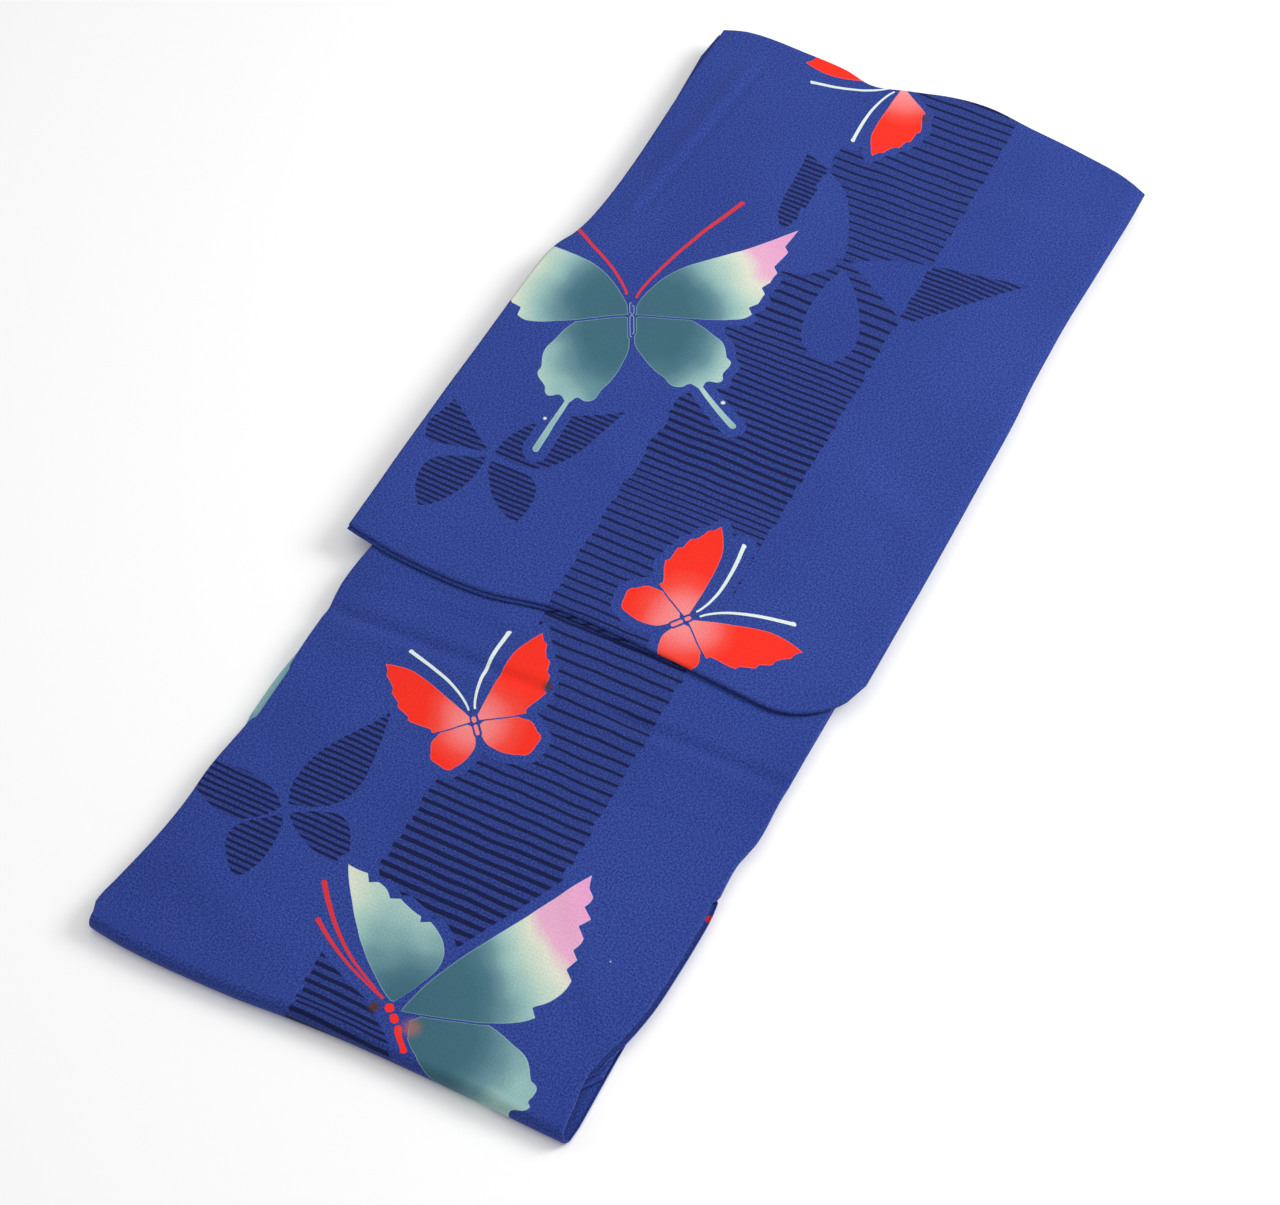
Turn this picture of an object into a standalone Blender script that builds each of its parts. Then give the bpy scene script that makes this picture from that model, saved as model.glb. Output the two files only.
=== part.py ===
"""A woman's cotton yukata robe, folded flat the formal way. Metres, +Z up.

X runs across the bundle, from the side seams (-X) to the centre-back fold (+X).
Y runs along it, from the crosswise fold (-Y) to the shoulders (+Y).
The bundle rests on z = 0. From the bottom it holds the hem half, the right sleeve,
the shoulder half and the left sleeve. The left body panel wraps round all but its sleeve.
"""
import math
from collections import namedtuple

import bmesh
import bpy

# Cloth
CLOTH = 0.0010
GAP = 0.0003
LOOSE_GAP = 0.0006
PLY_GAP = 0.0005
INNER_HEM_THICK = 0.0032
INNER_SHOULDER_THICK = 0.0042
COBALT = (0.027, 0.060, 0.323, 1.0)
DEEP_COBALT = (0.020, 0.045, 0.260, 1.0)
PALE_COBALT = (0.034, 0.070, 0.350, 1.0)
ROUGHNESS = 0.85

# Plan of the bundle
SHOULDER_Y = 0.408
FOLD_Y = -0.4135
SLEEVE_END_Y = -0.103
SLEEVE_CORNER_RADIUS = 0.050
SLEEVE_CORNER_X = 0.1215
HEM_Y = 0.395
NECK_X = 0.0685
BUNDLE_MIDDLE_X = 0.00045
BUNDLE_MIDDLE_Y = 0.00214

# Levels, from the surface up
Level = namedtuple("Level", "name thick space_below")
STACK = (
    Level("left_hem_half", CLOTH, 0.0),
    Level("inner_hem_half", INNER_HEM_THICK, GAP),
    Level("right_hem_half", CLOTH, GAP),
    Level("right_sleeve_front", CLOTH, GAP),
    Level("right_sleeve_back", CLOTH, PLY_GAP),
    Level("right_shoulder_half", CLOTH, GAP),
    Level("inner_shoulder_half", INNER_SHOULDER_THICK, GAP),
    Level("left_shoulder_half", CLOTH, GAP),
    Level("left_sleeve_back", CLOTH, LOOSE_GAP),
    Level("left_sleeve_front", CLOTH, PLY_GAP),
)
FOLD_PLY = CLOTH + PLY_GAP
LEFT_TOP_LEVELS = ("left_shoulder_half", "left_sleeve_back", "left_sleeve_front")

# Where the right sleeve ends, all that lies on it settles
SETTLE = 2 * CLOTH + GAP
SETTLE_FROM_Y = -0.103
SETTLE_TO_Y = -0.140

# Towards the centre-back fold the inner layers end and the bundle thins
THIN_FROM_X = 0.085
THIN_TO_X = 0.145
LOWER_THINNING = 0.0012
UPPER_THINNING = 0.0018
COLLAR_FROM_Y = 0.30
COLLAR_TO_Y = 0.35

# The sleeves reach past the body panels and droop a little there
DROOP = 0.0012
DROOP_FROM_X = 0.162
DROOP_TO_X = 0.173

# A sleeve's lower ply peeks out below the upper one, on the side of the body's seams
LOWER_PLY_SHOWS_TO_X = 0.02
LOWER_PLY_HIDDEN_FROM_X = 0.06
FURI_HEM = 0.008

# The crosswise fold is plumper near the centre-back end, where its loop stands open
LOOP_RISE = 0.0022
LOOP_LENGTH = 0.085
LOOP_FROM_X = 0.02
LOOP_TO_X = 0.15

# Edges of the body panels, on the shoulder half and on the hem half
BodyEdge = namedtuple("BodyEdge", "y left right hem_left hem_right")
BODY_EDGES = (
    BodyEdge(-0.4135, -0.1650, 0.1450, -0.1650, 0.1490),
    BodyEdge(-0.4000, -0.1675, 0.1440, -0.1672, 0.1497),
    BodyEdge(-0.3800, -0.1645, 0.1438, -0.1655, 0.1495),
    BodyEdge(-0.3600, -0.1612, 0.1460, -0.1628, 0.1493),
    BodyEdge(-0.3400, -0.1587, 0.1515, -0.1612, 0.1493),
    BodyEdge(-0.3170, -0.1572, 0.1555, -0.1600, 0.1507),
    BodyEdge(-0.2900, -0.1570, 0.1572, -0.1592, 0.1530),
    BodyEdge(-0.2600, -0.1540, 0.1580, -0.1565, 0.1550),
    BodyEdge(-0.2450, -0.1525, 0.1578, -0.1585, 0.1553),
    BodyEdge(-0.2300, -0.1525, 0.1560, -0.1588, 0.1535),
    BodyEdge(-0.2050, -0.1527, 0.1560, -0.1585, 0.1535),
    BodyEdge(-0.1900, -0.1535, 0.1592, -0.1570, 0.1568),
    BodyEdge(-0.1560, -0.1525, 0.1590, -0.1550, 0.1570),
    BodyEdge(-0.1350, -0.1547, 0.1595, -0.1560, 0.1575),
    BodyEdge(-0.1000, -0.1517, 0.1597, -0.1535, 0.1580),
    BodyEdge(0.1500, -0.1525, 0.1590, -0.1530, 0.1580),
    BodyEdge(0.3000, -0.1540, 0.1585, -0.1535, 0.1575),
    BodyEdge(0.3600, -0.1575, 0.1580, -0.1545, 0.1570),
    BodyEdge(0.3950, -0.1590, 0.1575, -0.1545, 0.1570),
    BodyEdge(0.4120, -0.1560, 0.1570, -0.1540, 0.1570),
)
SleeveEdge = namedtuple("SleeveEdge", "y left right")
SLEEVE_EDGES = (
    SleeveEdge(-0.103, -0.1715, 0.1712),
    SleeveEdge(0.000, -0.1710, 0.1717),
    SleeveEdge(0.090, -0.1697, 0.1712),
    SleeveEdge(0.150, -0.1685, 0.1709),
    SleeveEdge(0.165, -0.1668, 0.1706),
    SleeveEdge(0.175, -0.1640, 0.1702),
    SleeveEdge(0.185, -0.1598, 0.1697),
    SleeveEdge(0.197, -0.1568, 0.1692),
    SleeveEdge(0.220, -0.1540, 0.1688),
    SleeveEdge(0.270, -0.1530, 0.1686),
    SleeveEdge(0.330, -0.1545, 0.1706),
    SleeveEdge(0.380, -0.1550, 0.1722),
    SleeveEdge(0.408, -0.1545, 0.1722),
)

# How far the long ends of the bundle bow away from straight lines
Bow = namedtuple("Bow", "x shift")
SHOULDER_BOW = (
    Bow(-0.155, -0.0005),
    Bow(-0.140, 0.0050),
    Bow(-0.090, 0.0055),
    Bow(-0.060, 0.0030),
    Bow(-0.037, -0.0030),
    Bow(-0.010, 0.0042),
    Bow(0.020, 0.0128),
    Bow(0.045, 0.0150),
    Bow(0.080, 0.0095),
    Bow(0.120, 0.0042),
    Bow(0.150, -0.0018),
    Bow(0.172, -0.0105),
)
FOLD_BOW = (
    Bow(-0.165, -0.0015),
    Bow(-0.150, -0.0038),
    Bow(-0.070, -0.0040),
    Bow(-0.030, -0.0010),
    Bow(0.010, 0.0012),
    Bow(0.145, 0.0010),
)
SLEEVE_END_BOW = (
    Bow(-0.1720, 0.0045),
    Bow(-0.1500, 0.0000),
    Bow(-0.1225, -0.0030),
    Bow(-0.0705, -0.0030),
    Bow(-0.0255, 0.0055),
    Bow(0.0435, 0.0040),
    Bow(0.1005, 0.0005),
    Bow(0.1215, 0.0000),
)

# How far the inner layers stand back from the crosswise fold, which leaves its loop hollow
Hollow = namedtuple("Hollow", "x depth")
HOLLOW = (
    Hollow(-0.165, 0.0050),
    Hollow(0.000, 0.0080),
    Hollow(0.085, 0.0180),
    Hollow(0.155, 0.0300),
)

# The hidden layers, and the rounded edge of each in the depth of their stack
INNER_TOP_Y = 0.338
INNER_HEM_Y = 0.386
INNER_RIGHT_X = 0.083
INNER_LEFT_INSET = 0.0028
INNER_TURN = 0.0050
LayerEdge = namedtuple("LayerEdge", "depth inset")
LAYER_EDGES = (
    LayerEdge(0.00, 0.0010),
    LayerEdge(0.10, 0.0000),
    LayerEdge(0.36, 0.0000),
    LayerEdge(0.48, 0.0022),
    LayerEdge(0.60, 0.0006),
    LayerEdge(0.88, 0.0006),
    LayerEdge(1.00, 0.0018),
)

# The collar, folded flat at the back of the neck, and the over-collar sewn round it
COLLAR_WIDTH = 0.055
COLLAR_THICK = 0.0012
COLLAR_LEFT_X = 0.074
COLLAR_RIGHT_X = 0.151
COLLAR_INSET = 0.0085
COLLAR_EDGE_INSET = 0.0010
COLLAR_FOLD_INSET = 0.0050
OVER_COLLAR_TURN_Y = 0.0040
COLLAR_COLUMNS = (COLLAR_LEFT_X, 0.085, 0.100, 0.115, 0.130, COLLAR_RIGHT_X)

# The largest soft ridges, each along a line in the plan
Ridge = namedtuple("Ridge", "x0 y0 x1 y1 reach height")
BODY_RIDGES = (
    Ridge(-0.160, -0.136, 0.160, -0.122, 0.012, 0.0012),
    Ridge(-0.160, -0.178, 0.020, -0.176, 0.014, 0.0008),
    Ridge(0.040, -0.168, 0.160, -0.158, 0.013, 0.0009),
    Ridge(-0.060, -0.300, 0.090, -0.275, 0.024, 0.0008),
)
SLEEVE_RIDGES = (
    Ridge(-0.119, 0.400, -0.137, 0.205, 0.008, 0.0009),
    Ridge(-0.060, 0.120, 0.060, 0.160, 0.026, 0.0008),
    Ridge(0.050, -0.020, 0.140, 0.040, 0.024, 0.0008),
)

# Places of the grid lines that all layers share
COLUMNS = (-0.135, -0.100, -0.060, -0.020, 0.020, 0.050, 0.0685, 0.085, 0.100, 0.115, 0.130)
SLEEVE_COLUMNS = COLUMNS + (0.140, 0.149, 0.157, 0.163)
BODY_ROWS = (
    -0.390, -0.370, -0.350, -0.325, -0.300, -0.275, -0.250, -0.235, -0.205, -0.190, -0.175, -0.160,
    -0.145, -0.132, -0.118, -0.104, -0.060, 0.000, 0.070, 0.140, 0.200, 0.250, 0.300, 0.325, 0.350,
)
PLAIN_ROWS = (-0.390, -0.350, -0.300, -0.250, -0.205, -0.145, -0.118, -0.104, 0.0, 0.1, 0.2, 0.3, 0.35)
SLEEVE_ROWS = (0.0, 0.03, 0.07, 0.13, 0.20, 0.28, 0.36, 0.44, 0.51, 0.555, 0.60, 0.66, 0.74, 0.82, 0.90, 0.96)

FLAT_FROM_Y = FOLD_Y + 0.012
INNER_FLAT_FROM_Y = FOLD_Y + 0.045
FRONT_ROWS = (0.395, 0.380, 0.365)
LAST_OVER_ROW = 0.380

# Turned edges, which lie flat near the shoulders where the layers part
EDGE_RADIUS = 0.0013
EDGE_REACH = 0.0015
TURNED_TO_Y = 0.28
FLAT_PAST_Y = 0.34
EDGE_STEPS = 3
INNER_COLUMNS = 9
FOLD_STEPS = 8
PLY_TURN_STEPS = 4

Row = namedtuple("Row", "run at")
Column = namedtuple("Column", "side inset depth flat_inset x")


def ease(start, end, value):
    """0 before start and 1 past end, with a smooth rise between."""
    share = min(max((value - start) / (end - start), 0.0), 1.0)
    return share * share * (3.0 - 2.0 * share)


def curve(table, column, at):
    """A smooth curve through one column of a table that is sorted by its first column."""
    places = [row[0] for row in table]
    values = [getattr(row, column) for row in table]
    at = min(max(at, places[0]), places[-1])
    k = max(i for i in range(len(places) - 1) if places[i] <= at or i == 0)
    slopes = [(values[i + 1] - values[i]) / (places[i + 1] - places[i]) for i in range(len(places) - 1)]
    start = slopes[k] if k == 0 else (slopes[k - 1] + slopes[k]) / 2
    end = slopes[k] if k == len(slopes) - 1 else (slopes[k] + slopes[k + 1]) / 2
    span = places[k + 1] - places[k]
    s = (at - places[k]) / span
    return (
        values[k] * (1 + 2 * s) * (1 - s) ** 2
        + start * span * s * (1 - s) ** 2
        + values[k + 1] * s * s * (3 - 2 * s)
        + end * span * s * s * (s - 1)
    )


def level_middles():
    """The height of the middle of each level of the stack, by name."""
    middles = {}
    top = 0.0
    for level in STACK:
        bottom = top + level.space_below
        middles[level.name] = bottom + level.thick / 2
        top = bottom + level.thick
    return middles


MIDDLE = level_middles()
ABOVE_RIGHT_SLEEVE = MIDDLE["right_sleeve_back"] + CLOTH / 2


def ridge_height(ridges, x, y):
    """The lift of the cloth at a place in the plan, from all the ridges in a table."""
    lift = 0.0
    for ridge in ridges:
        run_x = ridge.x1 - ridge.x0
        run_y = ridge.y1 - ridge.y0
        length = math.hypot(run_x, run_y)
        share = ((x - ridge.x0) * run_x + (y - ridge.y0) * run_y) / length**2
        off = abs((x - ridge.x0) * run_y - (y - ridge.y0) * run_x) / length
        fade = ease(-0.02, 0.15, share) * (1.0 - ease(0.85, 1.02, share))
        lift += ridge.height * fade * math.exp(-((off / ridge.reach) ** 2))
    return lift


def thinning(level, x, y):
    """How far a level comes down towards the centre-back fold, where no inner layers lie."""
    edge = ease(THIN_FROM_X, THIN_TO_X, x)
    drop = 0.0
    if level != "left_hem_half":
        drop += LOWER_THINNING * edge
    if level in LEFT_TOP_LEVELS:
        drop += UPPER_THINNING * edge * (1.0 - ease(COLLAR_FROM_Y, COLLAR_TO_Y, y))
    return drop


def height(level, x, y):
    """The middle of a level's cloth over a place in the plan."""
    z = MIDDLE[level] - thinning(level, x, y)
    if MIDDLE[level] > ABOVE_RIGHT_SLEEVE:
        z -= SETTLE * (1.0 - ease(SETTLE_TO_Y, SETTLE_FROM_Y, y))
    if level in LEFT_TOP_LEVELS:
        near_fold = 1.0 - ease(0.0, LOOP_LENGTH, y - FOLD_Y)
        z += LOOP_RISE * ease(LOOP_FROM_X, LOOP_TO_X, x) * near_fold
        z += ridge_height(BODY_RIDGES, x, y)
    if level.endswith(("sleeve_back", "sleeve_front")):
        z -= DROOP * ease(DROOP_FROM_X, DROOP_TO_X, x)
    if level in ("left_sleeve_back", "left_sleeve_front"):
        z += ridge_height(SLEEVE_RIDGES, x, y)
    return z


def bowed(x, y):
    """A row's place along the bundle, with the bow of the nearer long end."""
    to_shoulder = max(y - SLEEVE_END_Y, 0.0) / (SHOULDER_Y - SLEEVE_END_Y)
    to_fold = max(SLEEVE_END_Y - y, 0.0) / (SLEEVE_END_Y - FOLD_Y)
    shift = curve(SHOULDER_BOW, "shift", x) * min(to_shoulder, 1.0) ** 2
    return y + shift + curve(FOLD_BOW, "shift", x) * min(to_fold, 1.0) ** 2


def turned_edge(side, radius, reach):
    """Columns of a sheet's long edge that turns towards the layer it is joined to."""
    columns = [Column(side, 0.0, reach, 0.0, None)]
    for k in range(EDGE_STEPS + 1):
        angle = math.radians(90.0) * k / EDGE_STEPS
        inset = radius * (1.0 - math.cos(angle))
        depth = radius * (1.0 - math.sin(angle))
        flat_inset = radius * (k + 1) / (EDGE_STEPS + 1)
        columns.append(Column(side, inset, depth, flat_inset, None))
    return columns if side == "left" else columns[::-1]


def shared_columns(places):
    """Columns at the places across the bundle that all layers share."""
    return [Column("middle", 0.0, 0.0, 0.0, x) for x in places]


def turn_rows(run, steps):
    """Rows of a half turn, from one flat run to the next."""
    return [Row(run, math.radians(180.0 * k / steps - 90.0)) for k in range(steps + 1)]


def edge_turn(row):
    """How far a panel's long edges turn. They lie flat near the shoulder, where the layers part."""
    if row.run in ("hem", "over"):
        return 1.0 - ease(TURNED_TO_Y, FLAT_PAST_Y, row.at)
    return 1.0 if row.run == "fold" else 0.0


def body_x(row, column, inset):
    """Where a column lies across a body panel."""
    if column.side == "middle":
        return column.x
    turn = edge_turn(row)
    inset += column.inset * turn + column.flat_inset * (1.0 - turn)
    share = {"hem": 0.0, "fold": (1.0 + math.sin(row.at)) / 2}.get(row.run, 1.0)
    y = row.at if row.run in ("hem", "over") else FOLD_Y if row.run == "fold" else SHOULDER_Y
    hem = curve(BODY_EDGES, f"hem_{column.side}", y)
    over = curve(BODY_EDGES, column.side, y)
    edge = hem + (over - hem) * share
    return edge + inset if column.side == "left" else edge - inset


Panel = namedtuple("Panel", "hem over front_side is_inner shoulder_inset edge_inset edge_side hem_y")
LEFT_PANEL = Panel("left_hem_half", "left_shoulder_half", -1, False, 0.0030, 0.0, 1, HEM_Y)
RIGHT_PANEL = Panel("right_hem_half", "right_shoulder_half", 1, True, 0.0045, 0.0015, -1, HEM_Y - 0.003)


def panel_point(panel, row, column):
    """The middle of a body panel's cloth. It runs hem, crosswise fold, over, shoulder, front."""
    x = body_x(row, column, panel.edge_inset)
    fold_y = FOLD_Y + curve(FOLD_BOW, "shift", x)
    if panel.is_inner:
        fold_y += curve(HOLLOW, "depth", x) + INNER_TURN + CLOTH / 2 + GAP
    shoulder_y = bowed(x, SHOULDER_Y) - panel.shoulder_inset
    ply = FOLD_PLY / 2
    if row.run == "hem":
        y = bowed(x, row.at)
        z = height(panel.hem, x, y)
        inward = (0.0, 1.0)
    elif row.run == "fold":
        low = height(panel.hem, x, fold_y)
        high = height(panel.over, x, fold_y)
        radius = (high - low) / 2
        y = fold_y + radius * (1.0 - math.cos(row.at))
        z = low + radius * (1.0 + math.sin(row.at))
        inward = (math.cos(row.at), -math.sin(row.at))
    elif row.run == "over":
        y = bowed(x, row.at)
        z = height(panel.over, x, y)
        inward = (0.0, -1.0)
    elif row.run == "shoulder":
        y = shoulder_y - ply * (1.0 - math.cos(row.at))
        z = height(panel.over, x, shoulder_y) + panel.front_side * ply * (1.0 + math.sin(row.at))
        inward = (0.0, 0.0)
    else:
        y = bowed(x, row.at)
        z = height(panel.over, x, y) + panel.front_side * FOLD_PLY
        inward = (0.0, 0.0)
    depth = column.depth * edge_turn(row) * panel.edge_side
    return (x, y + inward[0] * depth, z + inward[1] * depth)


def sleeve_x(side, y, inset):
    """A sleeve's armhole or wrist edge."""
    edge = curve(SLEEVE_EDGES, side, y)
    return edge + inset if side == "left" else edge - inset


def sleeve_end_y(x, inset):
    """A sleeve's lower edge, with the rounded corner below the wrist."""
    past = x - (SLEEVE_CORNER_X - inset)
    bow = curve(SLEEVE_END_BOW, "shift", min(x, SLEEVE_CORNER_X))
    if past <= 0.0:
        return SLEEVE_END_Y + bow + inset
    radius = SLEEVE_CORNER_RADIUS
    return SLEEVE_END_Y + bow + inset + radius - math.sqrt(max(radius**2 - past**2, 0.0))


Sleeve = namedtuple("Sleeve", "lower upper inset shoulder_inset lower_extra")
LEFT_SLEEVE = Sleeve("left_sleeve_back", "left_sleeve_front", 0.0, 0.0, 0.0022)
RIGHT_SLEEVE = Sleeve("right_sleeve_front", "right_sleeve_back", 0.0050, 0.0060, 0.0010)


def sleeve_point(sleeve, row, column):
    """The middle of a sleeve's cloth. It runs up the lower ply, over the shoulder and back."""
    share = row.at if row.run in ("lower", "upper") else 1.0
    y = SLEEVE_END_Y + share * (SHOULDER_Y - SLEEVE_END_Y)
    x = column.x
    if column.side != "middle":
        x = sleeve_x(column.side, y, sleeve.inset + column.inset)
    end_y = sleeve_end_y(x, sleeve.inset)
    if row.run == "lower":
        end_y -= sleeve.lower_extra * (1.0 - ease(LOWER_PLY_SHOWS_TO_X, LOWER_PLY_HIDDEN_FROM_X, x))
    shoulder_y = bowed(x, SHOULDER_Y) - sleeve.shoulder_inset
    ply = FOLD_PLY / 2
    y = end_y + share * (shoulder_y - ply - end_y)
    if row.run == "lower":
        return (x, y, height(sleeve.lower, x, y))
    if row.run == "upper":
        return (x, y, height(sleeve.upper, x, y))
    z = (height(sleeve.lower, x, y) + height(sleeve.upper, x, y)) / 2
    return (x, y + ply * math.cos(row.at), z + ply * math.sin(row.at))


def material(name, colour):
    """Plain cotton in one colour."""
    made = bpy.data.materials.new(name)
    made.use_nodes = True
    shader = made.node_tree.nodes["Principled BSDF"]
    shader.inputs["Base Color"].default_value = colour
    shader.inputs["Roughness"].default_value = ROUGHNESS
    shader.inputs["Metallic"].default_value = 0.0
    return made


def add_object(name, grid, colour, root):
    """Makes an object of a bmesh, with its own material, under the bundle's empty."""
    mesh = bpy.data.meshes.new(name)
    grid.to_mesh(mesh)
    grid.free()
    mesh.shade_smooth()
    mesh.materials.append(material(f"{name} cotton", colour))
    made = bpy.data.objects.new(name, mesh)
    made.parent = root
    root.users_collection[0].objects.link(made)
    return made


def add_cloth(name, rows, columns, point, colour, root, is_open=None, thick=CLOTH):
    """A sheet of cloth through a grid of points, given its thickness about them."""
    grid = bmesh.new()
    last_row = len(rows) - 1
    last_column = len(columns) - 1
    bmesh.ops.create_grid(grid, x_segments=last_column, y_segments=last_row, size=0.5)
    cut = []
    for face in grid.faces:
        middle = face.calc_center_median()
        row = rows[math.floor((middle.y + 0.5) * last_row)]
        column = columns[math.floor((middle.x + 0.5) * last_column)]
        if is_open and is_open(row, column):
            cut.append(face)
    for vert in grid.verts:
        row = rows[round((vert.co.y + 0.5) * last_row)]
        column = columns[round((vert.co.x + 0.5) * last_column)]
        vert.co = point(row, column)
    bmesh.ops.delete(grid, geom=cut, context="FACES")
    made = add_object(name, grid, colour, root)
    wall = made.modifiers.new("cloth", "SOLIDIFY")
    wall.thickness = thick
    wall.offset = 0.0
    wall.use_even_offset = True
    return made


def add_body_panels(root):
    """The two lengths of cloth that are back and front in one, each folded round the bundle."""
    left_columns = turned_edge("left", EDGE_RADIUS, EDGE_REACH)
    right_columns = turned_edge("right", EDGE_RADIUS, EDGE_REACH)
    columns = left_columns + shared_columns(COLUMNS) + right_columns
    front = [Row("front", y) for y in FRONT_ROWS]
    for name, panel, over, colour in (
        ("left_body_panel", LEFT_PANEL, BODY_ROWS, COBALT),
        ("right_body_panel", RIGHT_PANEL, PLAIN_ROWS, PALE_COBALT),
    ):
        first = INNER_FLAT_FROM_Y if panel.is_inner else FLAT_FROM_Y
        hem = [Row("hem", y) for y in (panel.hem_y, *PLAIN_ROWS[::-1]) if y > first]
        above = [Row("over", y) for y in (*over, LAST_OVER_ROW) if y > first]
        turn = turn_rows("fold", FOLD_STEPS if panel is LEFT_PANEL else PLY_TURN_STEPS)
        shoulder = turn_rows("shoulder", PLY_TURN_STEPS)
        rows = hem + turn + above + shoulder + front

        def past_neck(row, column):
            """True where the neck is cut out and the collar takes over from the front."""
            beyond = column.side == "right" or (column.side == "middle" and column.x >= NECK_X)
            return beyond and row.run in ("shoulder", "front")

        def point(row, column):
            return panel_point(panel, row, column)

        add_cloth(name, rows, columns, point, colour, root, past_neck)


def add_sleeves(root):
    """Each sleeve is one length folded at the shoulder, open to the wrist and to the body."""
    columns = [Column("left", 0.0, 0.0, 0.0, None), Column("left", FURI_HEM, 0.0, 0.0, None)]
    columns += shared_columns(SLEEVE_COLUMNS)
    columns += [Column("right", 0.0, 0.0, 0.0, None)]
    rows = [Row("lower", share) for share in SLEEVE_ROWS]
    rows += turn_rows("shoulder", PLY_TURN_STEPS)
    rows += [Row("upper", share) for share in SLEEVE_ROWS[::-1]]
    for name, sleeve, colour in (
        ("left_sleeve", LEFT_SLEEVE, COBALT),
        ("right_sleeve", RIGHT_SLEEVE, DEEP_COBALT),
    ):

        def point(row, column):
            return sleeve_point(sleeve, row, column)

        add_cloth(name, rows, columns, point, colour, root)


def inner_point(row, share, edge):
    """A point of the hidden layers, at a share of their width and at one of their edges' depths."""
    fraction = {"hem": 0.0, "fold": (1.0 + math.sin(row.at)) / 2}.get(row.run, 1.0)
    body_y = FOLD_Y if row.run == "fold" else row.at
    hem_left = curve(BODY_EDGES, "hem_left", body_y)
    left = hem_left + (curve(BODY_EDGES, "left", body_y) - hem_left) * fraction
    left += INNER_LEFT_INSET + edge.inset
    x = left + share * (INNER_RIGHT_X - edge.inset - left)
    if row.run != "fold":
        end = INNER_HEM_Y if row.run == "hem" else INNER_TOP_Y
        y = bowed(x, min(row.at, end - edge.inset))
        if row.run == "hem":
            return (x, y, height("inner_hem_half", x, y) - INNER_HEM_THICK * (0.5 - edge.depth))
        return (x, y, height("inner_shoulder_half", x, y) + INNER_SHOULDER_THICK * (0.5 - edge.depth))
    turn_y = FOLD_Y + curve(FOLD_BOW, "shift", x) + curve(HOLLOW, "depth", x)
    low = height("inner_hem_half", x, turn_y) + INNER_HEM_THICK * (edge.depth - 0.5)
    high = height("inner_shoulder_half", x, turn_y) - INNER_SHOULDER_THICK * (edge.depth - 0.5)
    radius = (high - low) / 2
    y = turn_y + INNER_TURN * edge.depth + radius * (1.0 - math.cos(row.at))
    return (x, y, low + radius * (1.0 + math.sin(row.at)))


def add_folded_layers(root):
    """The hidden fronts and overlap panels as one solid, bent round the right body and ridged."""
    flat = [y for y in PLAIN_ROWS if y > INNER_FLAT_FROM_Y]
    hem = [Row("hem", y) for y in (INNER_HEM_Y, *flat[::-1])]
    above = [Row("over", y) for y in (*[y for y in flat if y < INNER_TOP_Y], INNER_TOP_Y)]
    rows = hem + turn_rows("fold", FOLD_STEPS) + above
    shares = [k / INNER_COLUMNS for k in range(INNER_COLUMNS + 1)]
    solid = bmesh.new()
    edge_places = [(j, 0) for j in range(len(rows))]
    edge_places += [(len(rows) - 1, i) for i in range(1, len(shares))]
    edge_places += [(j, len(shares) - 1) for j in range(len(rows) - 2, -1, -1)]
    edge_places += [(0, i) for i in range(len(shares) - 2, 0, -1)]
    sides = []
    for edge in (LAYER_EDGES[0], LAYER_EDGES[-1]):
        side = {}
        for j, row in enumerate(rows):
            for i, share in enumerate(shares):
                side[j, i] = solid.verts.new(inner_point(row, share, edge))
        for j in range(len(rows) - 1):
            for i in range(len(shares) - 1):
                solid.faces.new((side[j, i], side[j, i + 1], side[j + 1, i + 1], side[j + 1, i]))
        sides.append([side[place] for place in edge_places])
    loops = [sides[0]]
    for edge in LAYER_EDGES[1:-1]:
        loops.append([solid.verts.new(inner_point(rows[j], shares[i], edge)) for j, i in edge_places])
    loops.append(sides[1])
    for upper, lower in zip(loops, loops[1:]):
        for k in range(len(upper)):
            after = (k + 1) % len(upper)
            solid.faces.new((upper[k], upper[after], lower[after], lower[k]))
    bmesh.ops.recalc_face_normals(solid, faces=solid.faces)
    add_object("folded_layers", solid, DEEP_COBALT, root)


def add_collars(root):
    """The collar and over-collar at the back of the neck, flat between the two body panels."""
    columns = shared_columns(COLLAR_COLUMNS)
    step = CLOTH + GAP
    lower = step
    upper = step + CLOTH + COLLAR_THICK + 2 * GAP

    def over_collar_point(row, column):
        x = column.x
        fold_y = bowed(x, SHOULDER_Y) - COLLAR_INSET
        base = height("right_shoulder_half", x, fold_y)
        radius = (upper - lower) / 2
        if row.run == "turn":
            y = fold_y - radius * (1.0 - math.cos(row.at))
            return (x, y, base + lower + radius * (1.0 + math.sin(row.at)))
        return (x, fold_y - row.at, base + (lower if row.run == "lower" else upper))

    def collar_point(row, column):
        fold_y = bowed(column.x, SHOULDER_Y) - COLLAR_INSET
        base = height("right_shoulder_half", column.x, fold_y)
        return (column.x, fold_y - row.at, base + (lower + upper) / 2)

    depths = (COLLAR_WIDTH, COLLAR_WIDTH / 2, OVER_COLLAR_TURN_Y)
    rows = [Row("lower", depth) for depth in depths]
    rows += turn_rows("turn", FOLD_STEPS)
    rows += [Row("upper", depth) for depth in depths[::-1]]
    add_cloth("over_collar", rows, columns, over_collar_point, COBALT, root)
    depths = (COLLAR_WIDTH - COLLAR_EDGE_INSET, COLLAR_WIDTH / 2, COLLAR_FOLD_INSET)
    rows = [Row("flat", depth) for depth in depths]
    add_cloth("collar", rows, columns, collar_point, PALE_COBALT, root, thick=COLLAR_THICK)


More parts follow.
